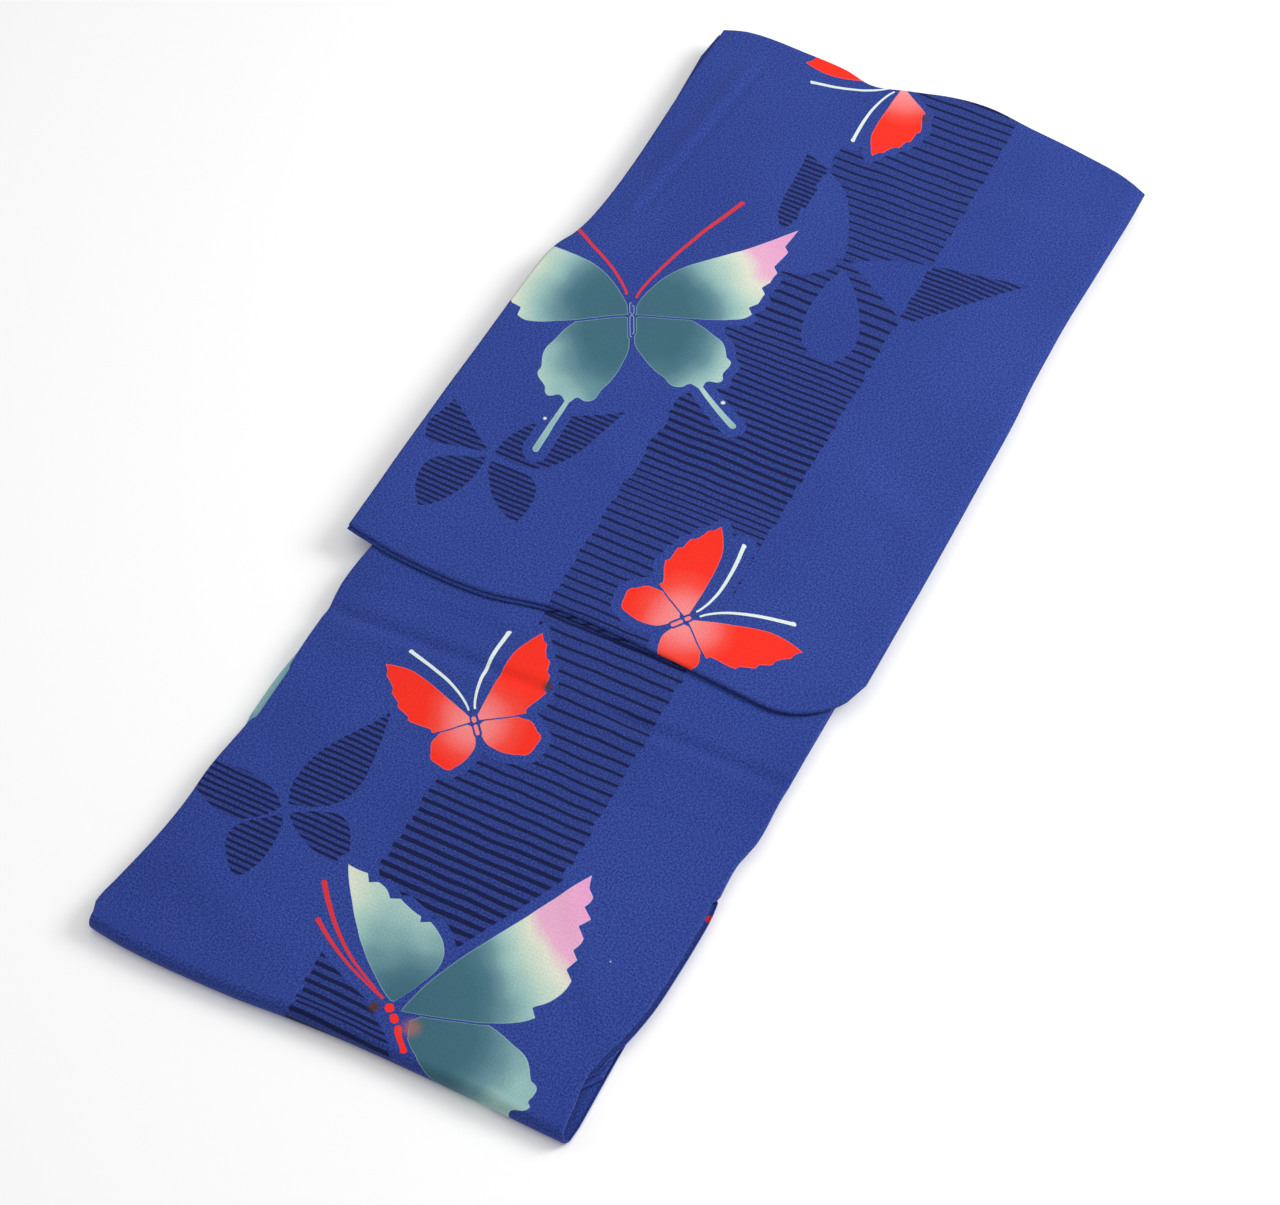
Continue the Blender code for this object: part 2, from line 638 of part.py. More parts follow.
def main():
    for old in list(bpy.data.objects):
        bpy.data.objects.remove(old, do_unlink=True)
    parts = bpy.data.collections.new("cotton yukata robe")
    bpy.context.scene.collection.children.link(parts)
    root = bpy.data.objects.new("bundle", None)
    root.location = (-BUNDLE_MIDDLE_X, -BUNDLE_MIDDLE_Y, 0.0)
    parts.objects.link(root)
    add_body_panels(root)
    add_sleeves(root)
    add_folded_layers(root)
    add_collars(root)


main()
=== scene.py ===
# %% [markdown]
# # A cotton yukata, folded flat
#
# The robe lies folded the formal way, with its left sleeve on top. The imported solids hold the
# sizes and the collisions. This file dresses them: fine sheets of cloth on the same surfaces,
# with their creases, and the dyed print as nodes that follow each sheet's own cut.
# Everything is in metres, in the frame of the solids.

# %% Load the solids
import math
from collections import namedtuple

import bmesh
import bpy
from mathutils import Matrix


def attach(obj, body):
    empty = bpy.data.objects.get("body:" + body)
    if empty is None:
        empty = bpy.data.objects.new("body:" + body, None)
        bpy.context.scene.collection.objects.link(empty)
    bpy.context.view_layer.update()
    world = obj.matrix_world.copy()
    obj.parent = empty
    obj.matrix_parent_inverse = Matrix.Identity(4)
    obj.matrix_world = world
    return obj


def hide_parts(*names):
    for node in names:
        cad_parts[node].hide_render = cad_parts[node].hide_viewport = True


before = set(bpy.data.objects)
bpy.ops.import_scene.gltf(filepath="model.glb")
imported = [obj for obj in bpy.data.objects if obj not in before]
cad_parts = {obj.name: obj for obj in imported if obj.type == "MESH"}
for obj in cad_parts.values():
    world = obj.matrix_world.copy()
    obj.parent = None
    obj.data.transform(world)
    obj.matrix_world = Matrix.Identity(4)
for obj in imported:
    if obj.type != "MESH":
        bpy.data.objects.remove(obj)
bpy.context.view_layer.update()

# %% [markdown]
# ## The camera
#
# The camera stands where the photographer's must have stood for the sleeve's four corners and
# the crosswise fold to fall where they do. A long lens, 90 mm, keeps the long sides nearly
# parallel. It is set from an angle round the bundle, an angle above the table and a distance,
# because those three numbers are easy to check and to change one at a time.

# %% Camera
AZIMUTH = math.radians(26.97)
ELEVATION = math.radians(54.22)
DISTANCE = 2.016
TARGET_X = 0.01425
TARGET_Y = -0.05954
LENS_MM = 90.0
SENSOR_MM = 36.0

camera_data = bpy.data.cameras.new("camera")
camera_data.lens = LENS_MM
camera_data.sensor_width = SENSOR_MM
camera = bpy.data.objects.new("camera", camera_data)
camera.location = (
    TARGET_X + DISTANCE * math.sin(AZIMUTH) * math.cos(ELEVATION),
    TARGET_Y - DISTANCE * math.cos(AZIMUTH) * math.cos(ELEVATION),
    DISTANCE * math.sin(ELEVATION),
)
camera.rotation_euler = (math.radians(90.0) - ELEVATION, 0.0, AZIMUTH)
bpy.context.scene.collection.objects.link(camera)
bpy.context.scene.camera = camera
print("camera at", [round(value, 3) for value in camera.location])

# %% [markdown]
# ## Table and light
#
# The photo is a cut-out on white under flat studio light, with only a thin dark line under each
# edge. A white matt floor, a white surround and three large soft lights give that. One hangs
# overhead, the key stands at the right, where the photo is brightest, and a weak one fills from
# the left. The floor gives off a little light of its own, to stay as white as the photo's paper.
# The Standard view keeps the strong blue and red of the dyes, where a film look would grey them.

# %% Floor, surround and lights
FLOOR_DROP = 0.0003
FLOOR_HALF = 4.0

floor_mesh = bpy.data.meshes.new("floor")
floor_grid = bmesh.new()
bmesh.ops.create_grid(floor_grid, x_segments=1, y_segments=1, size=FLOOR_HALF)
bmesh.ops.translate(floor_grid, verts=floor_grid.verts, vec=(0.0, 0.0, -FLOOR_DROP))
floor_grid.to_mesh(floor_mesh)
floor_grid.free()
floor = bpy.data.objects.new("floor", floor_mesh)
bpy.context.scene.collection.objects.link(floor)

floor_paint = bpy.data.materials.new("matt white table")
floor_paint.use_nodes = True
floor_shader = floor_paint.node_tree.nodes["Principled BSDF"]
floor_shader.inputs["Base Color"].default_value = (0.93, 0.93, 0.93, 1.0)
floor_shader.inputs["Emission Color"].default_value = (1.0, 1.0, 1.0, 1.0)
floor_shader.inputs["Emission Strength"].default_value = 0.11
floor_shader.inputs["Roughness"].default_value = 0.9
floor_shader.inputs["Specular IOR Level"].default_value = 0.1
floor_mesh.materials.append(floor_paint)

world = bpy.data.worlds.new("white surround")
world.use_nodes = True
world.node_tree.nodes["Background"].inputs["Color"].default_value = (1.0, 1.0, 1.0, 1.0)
world.node_tree.nodes["Background"].inputs["Strength"].default_value = 0.30
bpy.context.scene.world = world
bpy.context.scene.view_settings.view_transform = "Standard"

Softbox = namedtuple("Softbox", "name x y z size watts")
SOFTBOXES = (
    Softbox("overhead softbox", 0.1, 0.0, 2.1, 2.4, 20.0),
    Softbox("key softbox", 1.5, 1.1, 1.4, 1.0, 38.0),
    Softbox("fill softbox", -1.9, -0.6, 1.7, 1.6, 3.0),
)
for box in SOFTBOXES:
    lamp = bpy.data.lights.new(box.name, "AREA")
    lamp.size = box.size
    lamp.energy = box.watts
    holder = bpy.data.objects.new(box.name, lamp)
    holder.location = (box.x, box.y, box.z)
    holder.rotation_euler = (-holder.location).to_track_quat("-Z", "Y").to_euler()
    bpy.context.scene.collection.objects.link(holder)
print("lights", [box.name for box in SOFTBOXES])

# %% [markdown]
# ## How the robe is folded
#
# From the table up lie the hem half of the left body panel, the hidden fronts, the right body
# panel, the right sleeve, then the shoulder halves of the same layers, and last the left sleeve,
# which is folded over at the armhole. Each level has the height that the layers below give it.
# The numbers are the ones the solids were made from, so every sheet lies where its solid does.
# A real layer is a third of a millimetre of cotton. Here it is 0.8 mm, since folded cloth holds
# air, and the sheets stay clear of each other.

# %% Plan and levels
CLOTH = 0.0010
SHEET = 0.0008
GAP = 0.0003
LOOSE_GAP = 0.0006
PLY_GAP = 0.0005
INNER_HEM_THICK = 0.0032
INNER_SHOULDER_THICK = 0.0042

SHOULDER_Y = 0.408
FOLD_Y = -0.4135
SLEEVE_END_Y = -0.103
SLEEVE_CORNER_RADIUS = 0.050
SLEEVE_CORNER_X = 0.1215
HEM_Y = 0.395
NECK_X = 0.0685
MIDDLE_X = 0.00045
MIDDLE_Y = 0.00214

Level = namedtuple("Level", "name thick space_below")
STACK = (
    Level("left_hem_half", CLOTH, 0.0),
    Level("inner_hem_half", INNER_HEM_THICK, GAP),
    Level("right_hem_half", CLOTH, GAP),
    Level("right_sleeve_front", CLOTH, GAP),
    Level("right_sleeve_back", CLOTH, PLY_GAP),
    Level("right_shoulder_half", CLOTH, GAP),
    Level("inner_shoulder_half", INNER_SHOULDER_THICK, GAP),
    Level("left_shoulder_half", CLOTH, GAP),
    Level("left_sleeve_back", CLOTH, LOOSE_GAP),
    Level("left_sleeve_front", CLOTH, PLY_GAP),
)
FOLD_PLY = CLOTH + PLY_GAP
LEFT_TOP_LEVELS = ("left_shoulder_half", "left_sleeve_back", "left_sleeve_front")

SETTLE = 2 * CLOTH + GAP
SETTLE_FROM_Y = -0.103
SETTLE_TO_Y = -0.140
THIN_FROM_X = 0.085
THIN_TO_X = 0.145
LOWER_THINNING = 0.0012
UPPER_THINNING = 0.0018
COLLAR_FROM_Y = 0.30
COLLAR_TO_Y = 0.35
DROOP = 0.0012
DROOP_FROM_X = 0.162
DROOP_TO_X = 0.173
LOWER_PLY_SHOWS_TO_X = 0.02
LOWER_PLY_HIDDEN_FROM_X = 0.06
LOOP_RISE = 0.0022
LOOP_LENGTH = 0.085
LOOP_FROM_X = 0.02
LOOP_TO_X = 0.15

MIDDLE = {}
top = 0.0
for level in STACK:
    bottom = top + level.space_below
    MIDDLE[level.name] = bottom + level.thick / 2
    top = bottom + level.thick
ABOVE_RIGHT_SLEEVE = MIDDLE["right_sleeve_back"] + CLOTH / 2
print("stack", round(1000 * top, 1), "mm in", len(STACK), "levels")

# %% [markdown]
# ## The edges in the plan
#
# No fold in cloth is ruler-straight. Each table below lists an edge at a few places, and a
# smooth curve runs through them. That is how a pattern cutter marks a curve too: a few measured
# points, then a line drawn through them by hand.

# %% Edges of the body panels and sleeves
BodyEdge = namedtuple("BodyEdge", "y left right hem_left hem_right")
BODY_EDGES = (
    BodyEdge(-0.4135, -0.1650, 0.1450, -0.1650, 0.1490),
    BodyEdge(-0.4000, -0.1675, 0.1440, -0.1672, 0.1497),
    BodyEdge(-0.3800, -0.1645, 0.1438, -0.1655, 0.1495),
    BodyEdge(-0.3600, -0.1612, 0.1460, -0.1628, 0.1493),
    BodyEdge(-0.3400, -0.1587, 0.1515, -0.1612, 0.1493),
    BodyEdge(-0.3170, -0.1572, 0.1555, -0.1600, 0.1507),
    BodyEdge(-0.2900, -0.1570, 0.1572, -0.1592, 0.1530),
    BodyEdge(-0.2600, -0.1540, 0.1580, -0.1565, 0.1550),
    BodyEdge(-0.2450, -0.1525, 0.1578, -0.1585, 0.1553),
    BodyEdge(-0.2300, -0.1525, 0.1560, -0.1588, 0.1535),
    BodyEdge(-0.2050, -0.1527, 0.1560, -0.1585, 0.1535),
    BodyEdge(-0.1900, -0.1535, 0.1592, -0.1570, 0.1568),
    BodyEdge(-0.1560, -0.1525, 0.1590, -0.1550, 0.1570),
    BodyEdge(-0.1350, -0.1547, 0.1595, -0.1560, 0.1575),
    BodyEdge(-0.1000, -0.1517, 0.1597, -0.1535, 0.1580),
    BodyEdge(0.1500, -0.1525, 0.1590, -0.1530, 0.1580),
    BodyEdge(0.3000, -0.1540, 0.1585, -0.1535, 0.1575),
    BodyEdge(0.3600, -0.1575, 0.1580, -0.1545, 0.1570),
    BodyEdge(0.3950, -0.1590, 0.1575, -0.1545, 0.1570),
    BodyEdge(0.4120, -0.1560, 0.1570, -0.1540, 0.1570),
)
SleeveEdge = namedtuple("SleeveEdge", "y left right")
SLEEVE_EDGES = (
    SleeveEdge(-0.103, -0.1715, 0.1712),
    SleeveEdge(0.000, -0.1710, 0.1717),
    SleeveEdge(0.090, -0.1697, 0.1712),
    SleeveEdge(0.150, -0.1685, 0.1709),
    SleeveEdge(0.165, -0.1668, 0.1706),
    SleeveEdge(0.175, -0.1640, 0.1702),
    SleeveEdge(0.185, -0.1598, 0.1697),
    SleeveEdge(0.197, -0.1568, 0.1692),
    SleeveEdge(0.220, -0.1540, 0.1688),
    SleeveEdge(0.270, -0.1530, 0.1686),
    SleeveEdge(0.330, -0.1545, 0.1706),
    SleeveEdge(0.380, -0.1550, 0.1722),
    SleeveEdge(0.408, -0.1545, 0.1722),
)
Bow = namedtuple("Bow", "x shift")
SHOULDER_BOW = (
    Bow(-0.155, -0.0005),
    Bow(-0.140, 0.0050),
    Bow(-0.090, 0.0055),
    Bow(-0.060, 0.0030),
    Bow(-0.037, -0.0030),
    Bow(-0.010, 0.0042),
    Bow(0.020, 0.0128),
    Bow(0.045, 0.0150),
    Bow(0.080, 0.0095),
    Bow(0.120, 0.0042),
    Bow(0.150, -0.0018),
    Bow(0.172, -0.0105),
)
FOLD_BOW = (
    Bow(-0.165, -0.0015),
    Bow(-0.150, -0.0038),
    Bow(-0.070, -0.0040),
    Bow(-0.030, -0.0010),
    Bow(0.010, 0.0012),
    Bow(0.145, 0.0010),
)
SLEEVE_END_BOW = (
    Bow(-0.1720, 0.0045),
    Bow(-0.1500, 0.0000),
    Bow(-0.1225, -0.0030),
    Bow(-0.0705, -0.0030),
    Bow(-0.0255, 0.0055),
    Bow(0.0435, 0.0040),
    Bow(0.1005, 0.0005),
    Bow(0.1215, 0.0000),
)
Hollow = namedtuple("Hollow", "x depth")
HOLLOW = (
    Hollow(-0.165, 0.0050),
    Hollow(0.000, 0.0080),
    Hollow(0.085, 0.0180),
    Hollow(0.155, 0.0300),
)


def ease(start, end, value):
    """0 before start and 1 past end, with a smooth rise between."""
    share = min(max((value - start) / (end - start), 0.0), 1.0)
    return share * share * (3.0 - 2.0 * share)


def curve(table, column, at):
    """A smooth curve through one column of a table that is sorted by its first column."""
    at = min(max(at, table[0][0]), table[-1][0])
    last = len(table) - 2
    k = 0
    while k < last and table[k + 1][0] <= at:
        k += 1

    def slope(i):
        rise = getattr(table[i + 1], column) - getattr(table[i], column)
        return rise / (table[i + 1][0] - table[i][0])

    here = slope(k)
    start = here if k == 0 else (slope(k - 1) + here) / 2
    end = here if k == last else (here + slope(k + 1)) / 2
    low = getattr(table[k], column)
    high = getattr(table[k + 1], column)
    span = table[k + 1][0] - table[k][0]
    s = (at - table[k][0]) / span
    return (
        low * (1 + 2 * s) * (1 - s) ** 2
        + start * span * s * (1 - s) ** 2
        + high * s * s * (3 - 2 * s)
        + end * span * s * s * (s - 1)
    )


print("left edge at y = -0.30:", round(curve(BODY_EDGES, "left", -0.30), 4))

# %% [markdown]
# ## Creases
#
# Washed cotton keeps old fold lines and gets new soft ones where it is handled. A crease could
# be painted as bump, but then its edge would not catch the light from the side. Here each is a
# line in the plan with a reach and a height: above zero a ridge, below zero a trough. They are
# placed one by one, uneven in length and depth, and those of the body lift all that lies on it.

# %% Creases
Crease = namedtuple("Crease", "x0 y0 x1 y1 reach height")
BODY_CREASES = (
    Crease(-0.165, -0.153, 0.165, -0.146, 0.0240, 0.0024),
    Crease(-0.165, -0.158, 0.010, -0.152, 0.0048, -0.0030),
    Crease(0.030, -0.151, 0.165, -0.145, 0.0046, -0.0027),
    Crease(-0.150, -0.128, -0.020, -0.116, 0.0034, 0.0007),
    Crease(-0.060, -0.300, 0.090, -0.275, 0.0240, 0.0010),
    Crease(0.020, -0.245, 0.158, -0.235, 0.0360, 0.0011),
    Crease(0.070, -0.205, 0.150, -0.192, 0.0050, -0.0008),
    Crease(0.085, -0.262, 0.150, -0.232, 0.0060, -0.0008),
    Crease(0.060, -0.250, 0.105, -0.305, 0.0070, 0.0008),
    Crease(0.100, -0.300, 0.140, -0.350, 0.0080, 0.0008),
    Crease(-0.140, -0.350, -0.060, -0.385, 0.0120, 0.0009),
)
SLEEVE_CREASES = (
    Crease(-0.119, 0.400, -0.137, 0.205, 0.008, 0.0021),
    Crease(-0.060, 0.120, 0.060, 0.160, 0.026, 0.0011),
    Crease(0.050, -0.020, 0.140, 0.040, 0.024, 0.0011),
    Crease(-0.113, 0.398, -0.129, 0.215, 0.0024, -0.0023),
    Crease(-0.075, 0.008, 0.010, 0.004, 0.0040, -0.0006),
    Crease(0.060, 0.330, 0.150, 0.345, 0.0110, 0.0009),
    Crease(-0.020, 0.370, 0.030, 0.300, 0.0130, 0.0009),
    Crease(-0.150, 0.020, -0.080, 0.070, 0.0150, 0.0008),
    Crease(0.090, 0.090, 0.160, 0.060, 0.0120, 0.0008),
    Crease(-0.160, -0.060, -0.060, -0.070, 0.0100, 0.0007),
)
CREASE_BEGINS = (-0.02, 0.15)
CREASE_ENDS = (0.85, 1.02)


def crease_height(creases, x, y):
    """The lift of the cloth at a place in the plan, from all the creases in a table."""
    lift = 0.0
    for crease in creases:
        run_x = crease.x1 - crease.x0
        run_y = crease.y1 - crease.y0
        length = math.hypot(run_x, run_y)
        off = abs((x - crease.x0) * run_y - (y - crease.y0) * run_x) / length
        if off > 3.0 * crease.reach:
            continue
        share = ((x - crease.x0) * run_x + (y - crease.y0) * run_y) / length**2
        fade = ease(*CREASE_BEGINS, share) * (1.0 - ease(*CREASE_ENDS, share))
        lift += crease.height * fade * math.exp(-((off / crease.reach) ** 2))
    return lift


Ripple = namedtuple("Ripple", "per_x per_y start share")
LOOSE_HEIGHT = 0.00016
LOOSE_RIPPLES = (
    Ripple(61.0, 23.0, 0.0, 1.0),
    Ripple(-40.0, 31.0, 1.3, 1.0),
    Ripple(12.0, 97.0, 0.4, 0.8),
)


def looseness(x, y):
    """The slight unevenness of cloth that lies loose, as long low waves."""
    total = 0.0
    for ripple in LOOSE_RIPPLES:
        total += ripple.share * math.sin(ripple.per_x * x + ripple.per_y * y + ripple.start)
    return LOOSE_HEIGHT * total


def thinning(level, x, y):
    """How far a level comes down towards the centre-back fold, where no inner layers lie."""
    edge = ease(THIN_FROM_X, THIN_TO_X, x)
    drop = 0.0
    if level != "left_hem_half":
        drop += LOWER_THINNING * edge
    if level in LEFT_TOP_LEVELS:
        drop += UPPER_THINNING * edge * (1.0 - ease(COLLAR_FROM_Y, COLLAR_TO_Y, y))
    return drop


def height(level, x, y):
    """The middle of a level's cloth over a place in the plan."""
    z = MIDDLE[level] - thinning(level, x, y)
    if MIDDLE[level] > ABOVE_RIGHT_SLEEVE:
        z -= SETTLE * (1.0 - ease(SETTLE_TO_Y, SETTLE_FROM_Y, y))
    if level in LEFT_TOP_LEVELS:
        near_fold = 1.0 - ease(0.0, LOOP_LENGTH, y - FOLD_Y)
        z += LOOP_RISE * ease(LOOP_FROM_X, LOOP_TO_X, x) * near_fold
        z += crease_height(BODY_CREASES, x, y) + looseness(x, y)
    if level.endswith(("sleeve_back", "sleeve_front")):
        z -= DROOP * ease(DROOP_FROM_X, DROOP_TO_X, x)
    if level in ("left_sleeve_back", "left_sleeve_front"):
        z += crease_height(SLEEVE_CREASES, x, y)
    return z


def bowed(x, y):
    """A row's place along the bundle, with the bow of the nearer long end."""
    to_shoulder = max(y - SLEEVE_END_Y, 0.0) / (SHOULDER_Y - SLEEVE_END_Y)
    to_fold = max(SLEEVE_END_Y - y, 0.0) / (SLEEVE_END_Y - FOLD_Y)
    shift = curve(SHOULDER_BOW, "shift", x) * min(to_shoulder, 1.0) ** 2
    return y + shift + curve(FOLD_BOW, "shift", x) * min(to_fold, 1.0) ** 2


print("sleeve top over the middle:", round(1000 * height("left_sleeve_front", 0.0, 0.2), 2), "mm")

# %% [markdown]
# ## One way to make every sheet
#
# A sheet of cloth is a grid whose rows run along the piece and whose columns run across it. The
# grid comes flat from create_grid, and each of its points is then moved to where the folded
# cloth is. Because the rows follow the cloth round its folds, the same rows give the UV map: u
# across the cut and v along it, in metres. The print uses that map, so it runs on round each
# fold as dye does. Solidify then gives the sheet its thickness.

# %% Rows, columns and the sheet maker
Row = namedtuple("Row", "run at")
Column = namedtuple("Column", "side inset depth flat_inset x")


def span_of(start, end, step):
    """Evenly spaced places from start to end, both included."""
    count = max(1, round(abs(end - start) / step))
    return [start + (end - start) * k / count for k in range(count + 1)]


def shared_columns(places):
    """Columns at fixed places across the bundle."""
    return [Column("middle", 0.0, 0.0, 0.0, x) for x in places]


def edge_columns(side, insets):
    """Columns at fixed distances inside a piece's own edge."""
    return [Column(side, inset, 0.0, inset, None) for inset in insets]


def turn_rows(run, steps):
    """Rows of a half turn, from one flat run to the next."""
    return [Row(run, math.radians(180.0 * k / steps - 90.0)) for k in range(steps + 1)]


def cloth_sheet(name, rows, columns, point, thick=SHEET, is_open=None):
    """A sheet through a grid of points, with its UV map in metres and its thickness."""
    grid = bmesh.new()
    last_row = len(rows) - 1
    last_column = len(columns) - 1
    bmesh.ops.create_grid(grid, x_segments=last_column, y_segments=last_row, size=0.5)
    cut = []
    for face in grid.faces:
        middle = face.calc_center_median()
        row = rows[math.floor((middle.y + 0.5) * last_row)]
        column = columns[math.floor((middle.x + 0.5) * last_column)]
        if is_open and is_open(row, column):
            cut.append(face)
    on_cut = {}
    for vert in grid.verts:
        row = rows[round((vert.co.y + 0.5) * last_row)]
        column = columns[round((vert.co.x + 0.5) * last_column)]
        x, y, z, along = point(row, column)
        vert.co = (x - MIDDLE_X, y - MIDDLE_Y, z)
        on_cut[vert] = (x - MIDDLE_X, along - MIDDLE_Y)
    layer = grid.loops.layers.uv.new("cut")
    for face in grid.faces:
        for loop in face.loops:
            loop[layer].uv = on_cut[loop.vert]
    bmesh.ops.delete(grid, geom=cut, context="FACES")
    mesh = bpy.data.meshes.new(name)
    grid.to_mesh(mesh)
    grid.free()
    mesh.shade_smooth()
    made = bpy.data.objects.new(name, mesh)
    bpy.context.scene.collection.objects.link(made)
    wall = made.modifiers.new("cloth", "SOLIDIFY")
    wall.thickness = thick
    wall.offset = 0.0
    wall.use_even_offset = True
    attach(made, "root")
    print(name, len(mesh.polygons), "faces")
    return made


# %% [markdown]
# ## The two body panels
#
# The back and front of each side are one length of cloth. It runs up from the hem on the
# underside, round the crosswise fold, along the top to the shoulder, and over it to the front.
# The left panel is the outermost, so it makes the whole underside and the lower part of the top.
# Its long edges turn down a little towards the half they meet, except near the shoulder. Along
# the lower part of the centre-back fold it is set back three millimetres, so that the right
# panel shows as a strip with a square end. At one place on the other side both panels are set
# back two millimetres, and a little of the hem half shows past them.

# %% Body panels
EDGE_RADIUS = 0.0013
EDGE_REACH = 0.0015
EDGE_STEPS = 4
PAST_EDGE = (0.0030, 0.0055)
TURNED_TO_Y = 0.28
FLAT_PAST_Y = 0.34
INNER_TURN = 0.0050
FLAT_FROM_Y = FOLD_Y + 0.012
INNER_FLAT_FROM_Y = FOLD_Y + 0.045
FIRST_HEM_ROW = 0.385
LAST_OVER_ROW = 0.380
FRONT_ROWS = (0.395, 0.388, 0.380, 0.3725, 0.365)
SHOWN_TO_Y = -0.075
COVERED_FROM_Y = -0.065
COLUMNS_FROM_X = -0.142
FINE_STEP = 0.003
COARSE_STEP = 0.007
COVERED_STEP = 0.015

PEEK = 0.0032
PEEK_FROM_Y = -0.236
PEEK_TO_Y = -0.398
SQUARE_END = 0.002
PEEK_TAPER = 0.026
SIDE_PEEK = 0.0019
SIDE_PEEK_FROM_Y = -0.251
SIDE_PEEK_RISE = 0.004
SIDE_PEEK_TO_Y = -0.2075
SIDE_PEEK_DROP = 0.6
SIDE_GONE_FROM_Y = -0.19
SIDE_GONE_TO_Y = -0.16
DIVE = 0.0080
DIVE_FROM_Y = PEEK_TO_Y + 0.004
DIVE_TO_Y = PEEK_TO_Y + 0.024

Panel = namedtuple(
    "Panel", "hem over front_side is_inner shoulder_inset edge_inset edge_side hem_y set_back"
)
LEFT_PANEL = Panel("left_hem_half", "left_shoulder_half", -1, False, 0.0030, 0.0, 1, HEM_Y, 1.0)
RIGHT_PANEL = Panel(
    "right_hem_half", "right_shoulder_half", 1, True, 0.0045, 0.0015, -1, HEM_Y - 0.003, -0.4
)


def turned_edge(side):
    """Columns of a long edge that turns towards the layer it is joined to."""
    columns = [Column(side, 0.0, EDGE_REACH, 0.0, None)]
    for k in range(EDGE_STEPS + 1):
        angle = math.radians(90.0) * k / EDGE_STEPS
        inset = EDGE_RADIUS * (1.0 - math.cos(angle))
        depth = EDGE_RADIUS * (1.0 - math.sin(angle))
        columns.append(Column(side, inset, depth, EDGE_RADIUS * (k + 1) / (EDGE_STEPS + 1), None))
    columns += edge_columns(side, PAST_EDGE)
    return columns if side == "left" else columns[::-1]


def edge_turn(row):
    """How far a panel's long edges turn. They lie flat near the shoulder, where the layers part."""
    if row.run in ("hem", "over"):
        return 1.0 - ease(TURNED_TO_Y, FLAT_PAST_Y, row.at)
    return 1.0 if row.run == "fold" else 0.0


def peek(side, y):
    """How far the lower panel shows past the upper one at a long edge."""
    if side == "right":
        begun = 1.0 - ease(PEEK_FROM_Y, PEEK_FROM_Y + SQUARE_END, y)
        return PEEK * begun * ease(PEEK_TO_Y, PEEK_TO_Y + PEEK_TAPER, y)
    begun = ease(SIDE_PEEK_FROM_Y, SIDE_PEEK_FROM_Y + SIDE_PEEK_RISE, y)
    dropped = SIDE_PEEK_DROP * ease(SIDE_PEEK_TO_Y, SIDE_PEEK_TO_Y + SQUARE_END, y)
    gone = (1.0 - SIDE_PEEK_DROP) * ease(SIDE_GONE_FROM_Y, SIDE_GONE_TO_Y, y)
    return SIDE_PEEK * begun * (1.0 - dropped - gone)


def body_x(panel, row, column):
    """Where a column lies across a body panel."""
    if column.side == "middle":
        return column.x
    turn = edge_turn(row)
    inset = panel.edge_inset + column.inset * turn + column.flat_inset * (1.0 - turn)
    share = {"hem": 0.0, "fold": (1.0 + math.sin(row.at)) / 2}.get(row.run, 1.0)
    y = row.at if row.run in ("hem", "over") else FOLD_Y if row.run == "fold" else SHOULDER_Y
    if row.run == "over":
        inset += peek(column.side, y) * (panel.set_back if column.side == "right" else 1.0)
    if column.side == "right" and panel.is_inner:
        inset += DIVE * (1.0 - ease(DIVE_FROM_Y, DIVE_TO_Y, y))
    hem = curve(BODY_EDGES, f"hem_{column.side}", y)
    over = curve(BODY_EDGES, column.side, y)
    edge = hem + (over - hem) * share
    return edge + inset if column.side == "left" else edge - inset


def panel_point(panel, row, column):
    """A point of a body panel and its place along the cut."""
    x = body_x(panel, row, column)
    fold_y = FOLD_Y + curve(FOLD_BOW, "shift", x)
    if panel.is_inner:
        fold_y += curve(HOLLOW, "depth", x) + INNER_TURN + CLOTH / 2 + GAP
    shoulder_y = bowed(x, SHOULDER_Y) - panel.shoulder_inset
    ply = FOLD_PLY / 2
    low = height(panel.hem, x, fold_y)
    high = height(panel.over, x, fold_y)
    radius = (high - low) / 2
    inward = (0.0, 0.0)
    if row.run == "hem":
        y = bowed(x, row.at)
        z = height(panel.hem, x, y)
        inward = (0.0, 1.0)
        along = fold_y - math.pi * radius - (y - fold_y)
    elif row.run == "fold":
        y = fold_y + radius * (1.0 - math.cos(row.at))
        z = low + radius * (1.0 + math.sin(row.at))
        inward = (math.cos(row.at), -math.sin(row.at))
        along = fold_y - radius * (math.radians(90.0) - row.at)
    elif row.run == "over":
        y = bowed(x, row.at)
        z = height(panel.over, x, y)
        inward = (0.0, -1.0)
        along = y
    elif row.run == "shoulder":
        y = shoulder_y - ply * (1.0 - math.cos(row.at))
        z = height(panel.over, x, shoulder_y) + panel.front_side * ply * (1.0 + math.sin(row.at))
        along = shoulder_y + ply * (math.radians(90.0) + row.at)
    else:
        y = bowed(x, row.at)
        z = height(panel.over, x, y) + panel.front_side * FOLD_PLY
        along = 2.0 * shoulder_y + math.pi * ply - y
    depth = column.depth * edge_turn(row) * panel.edge_side
    return (x, y + inward[0] * depth, z + inward[1] * depth, along)


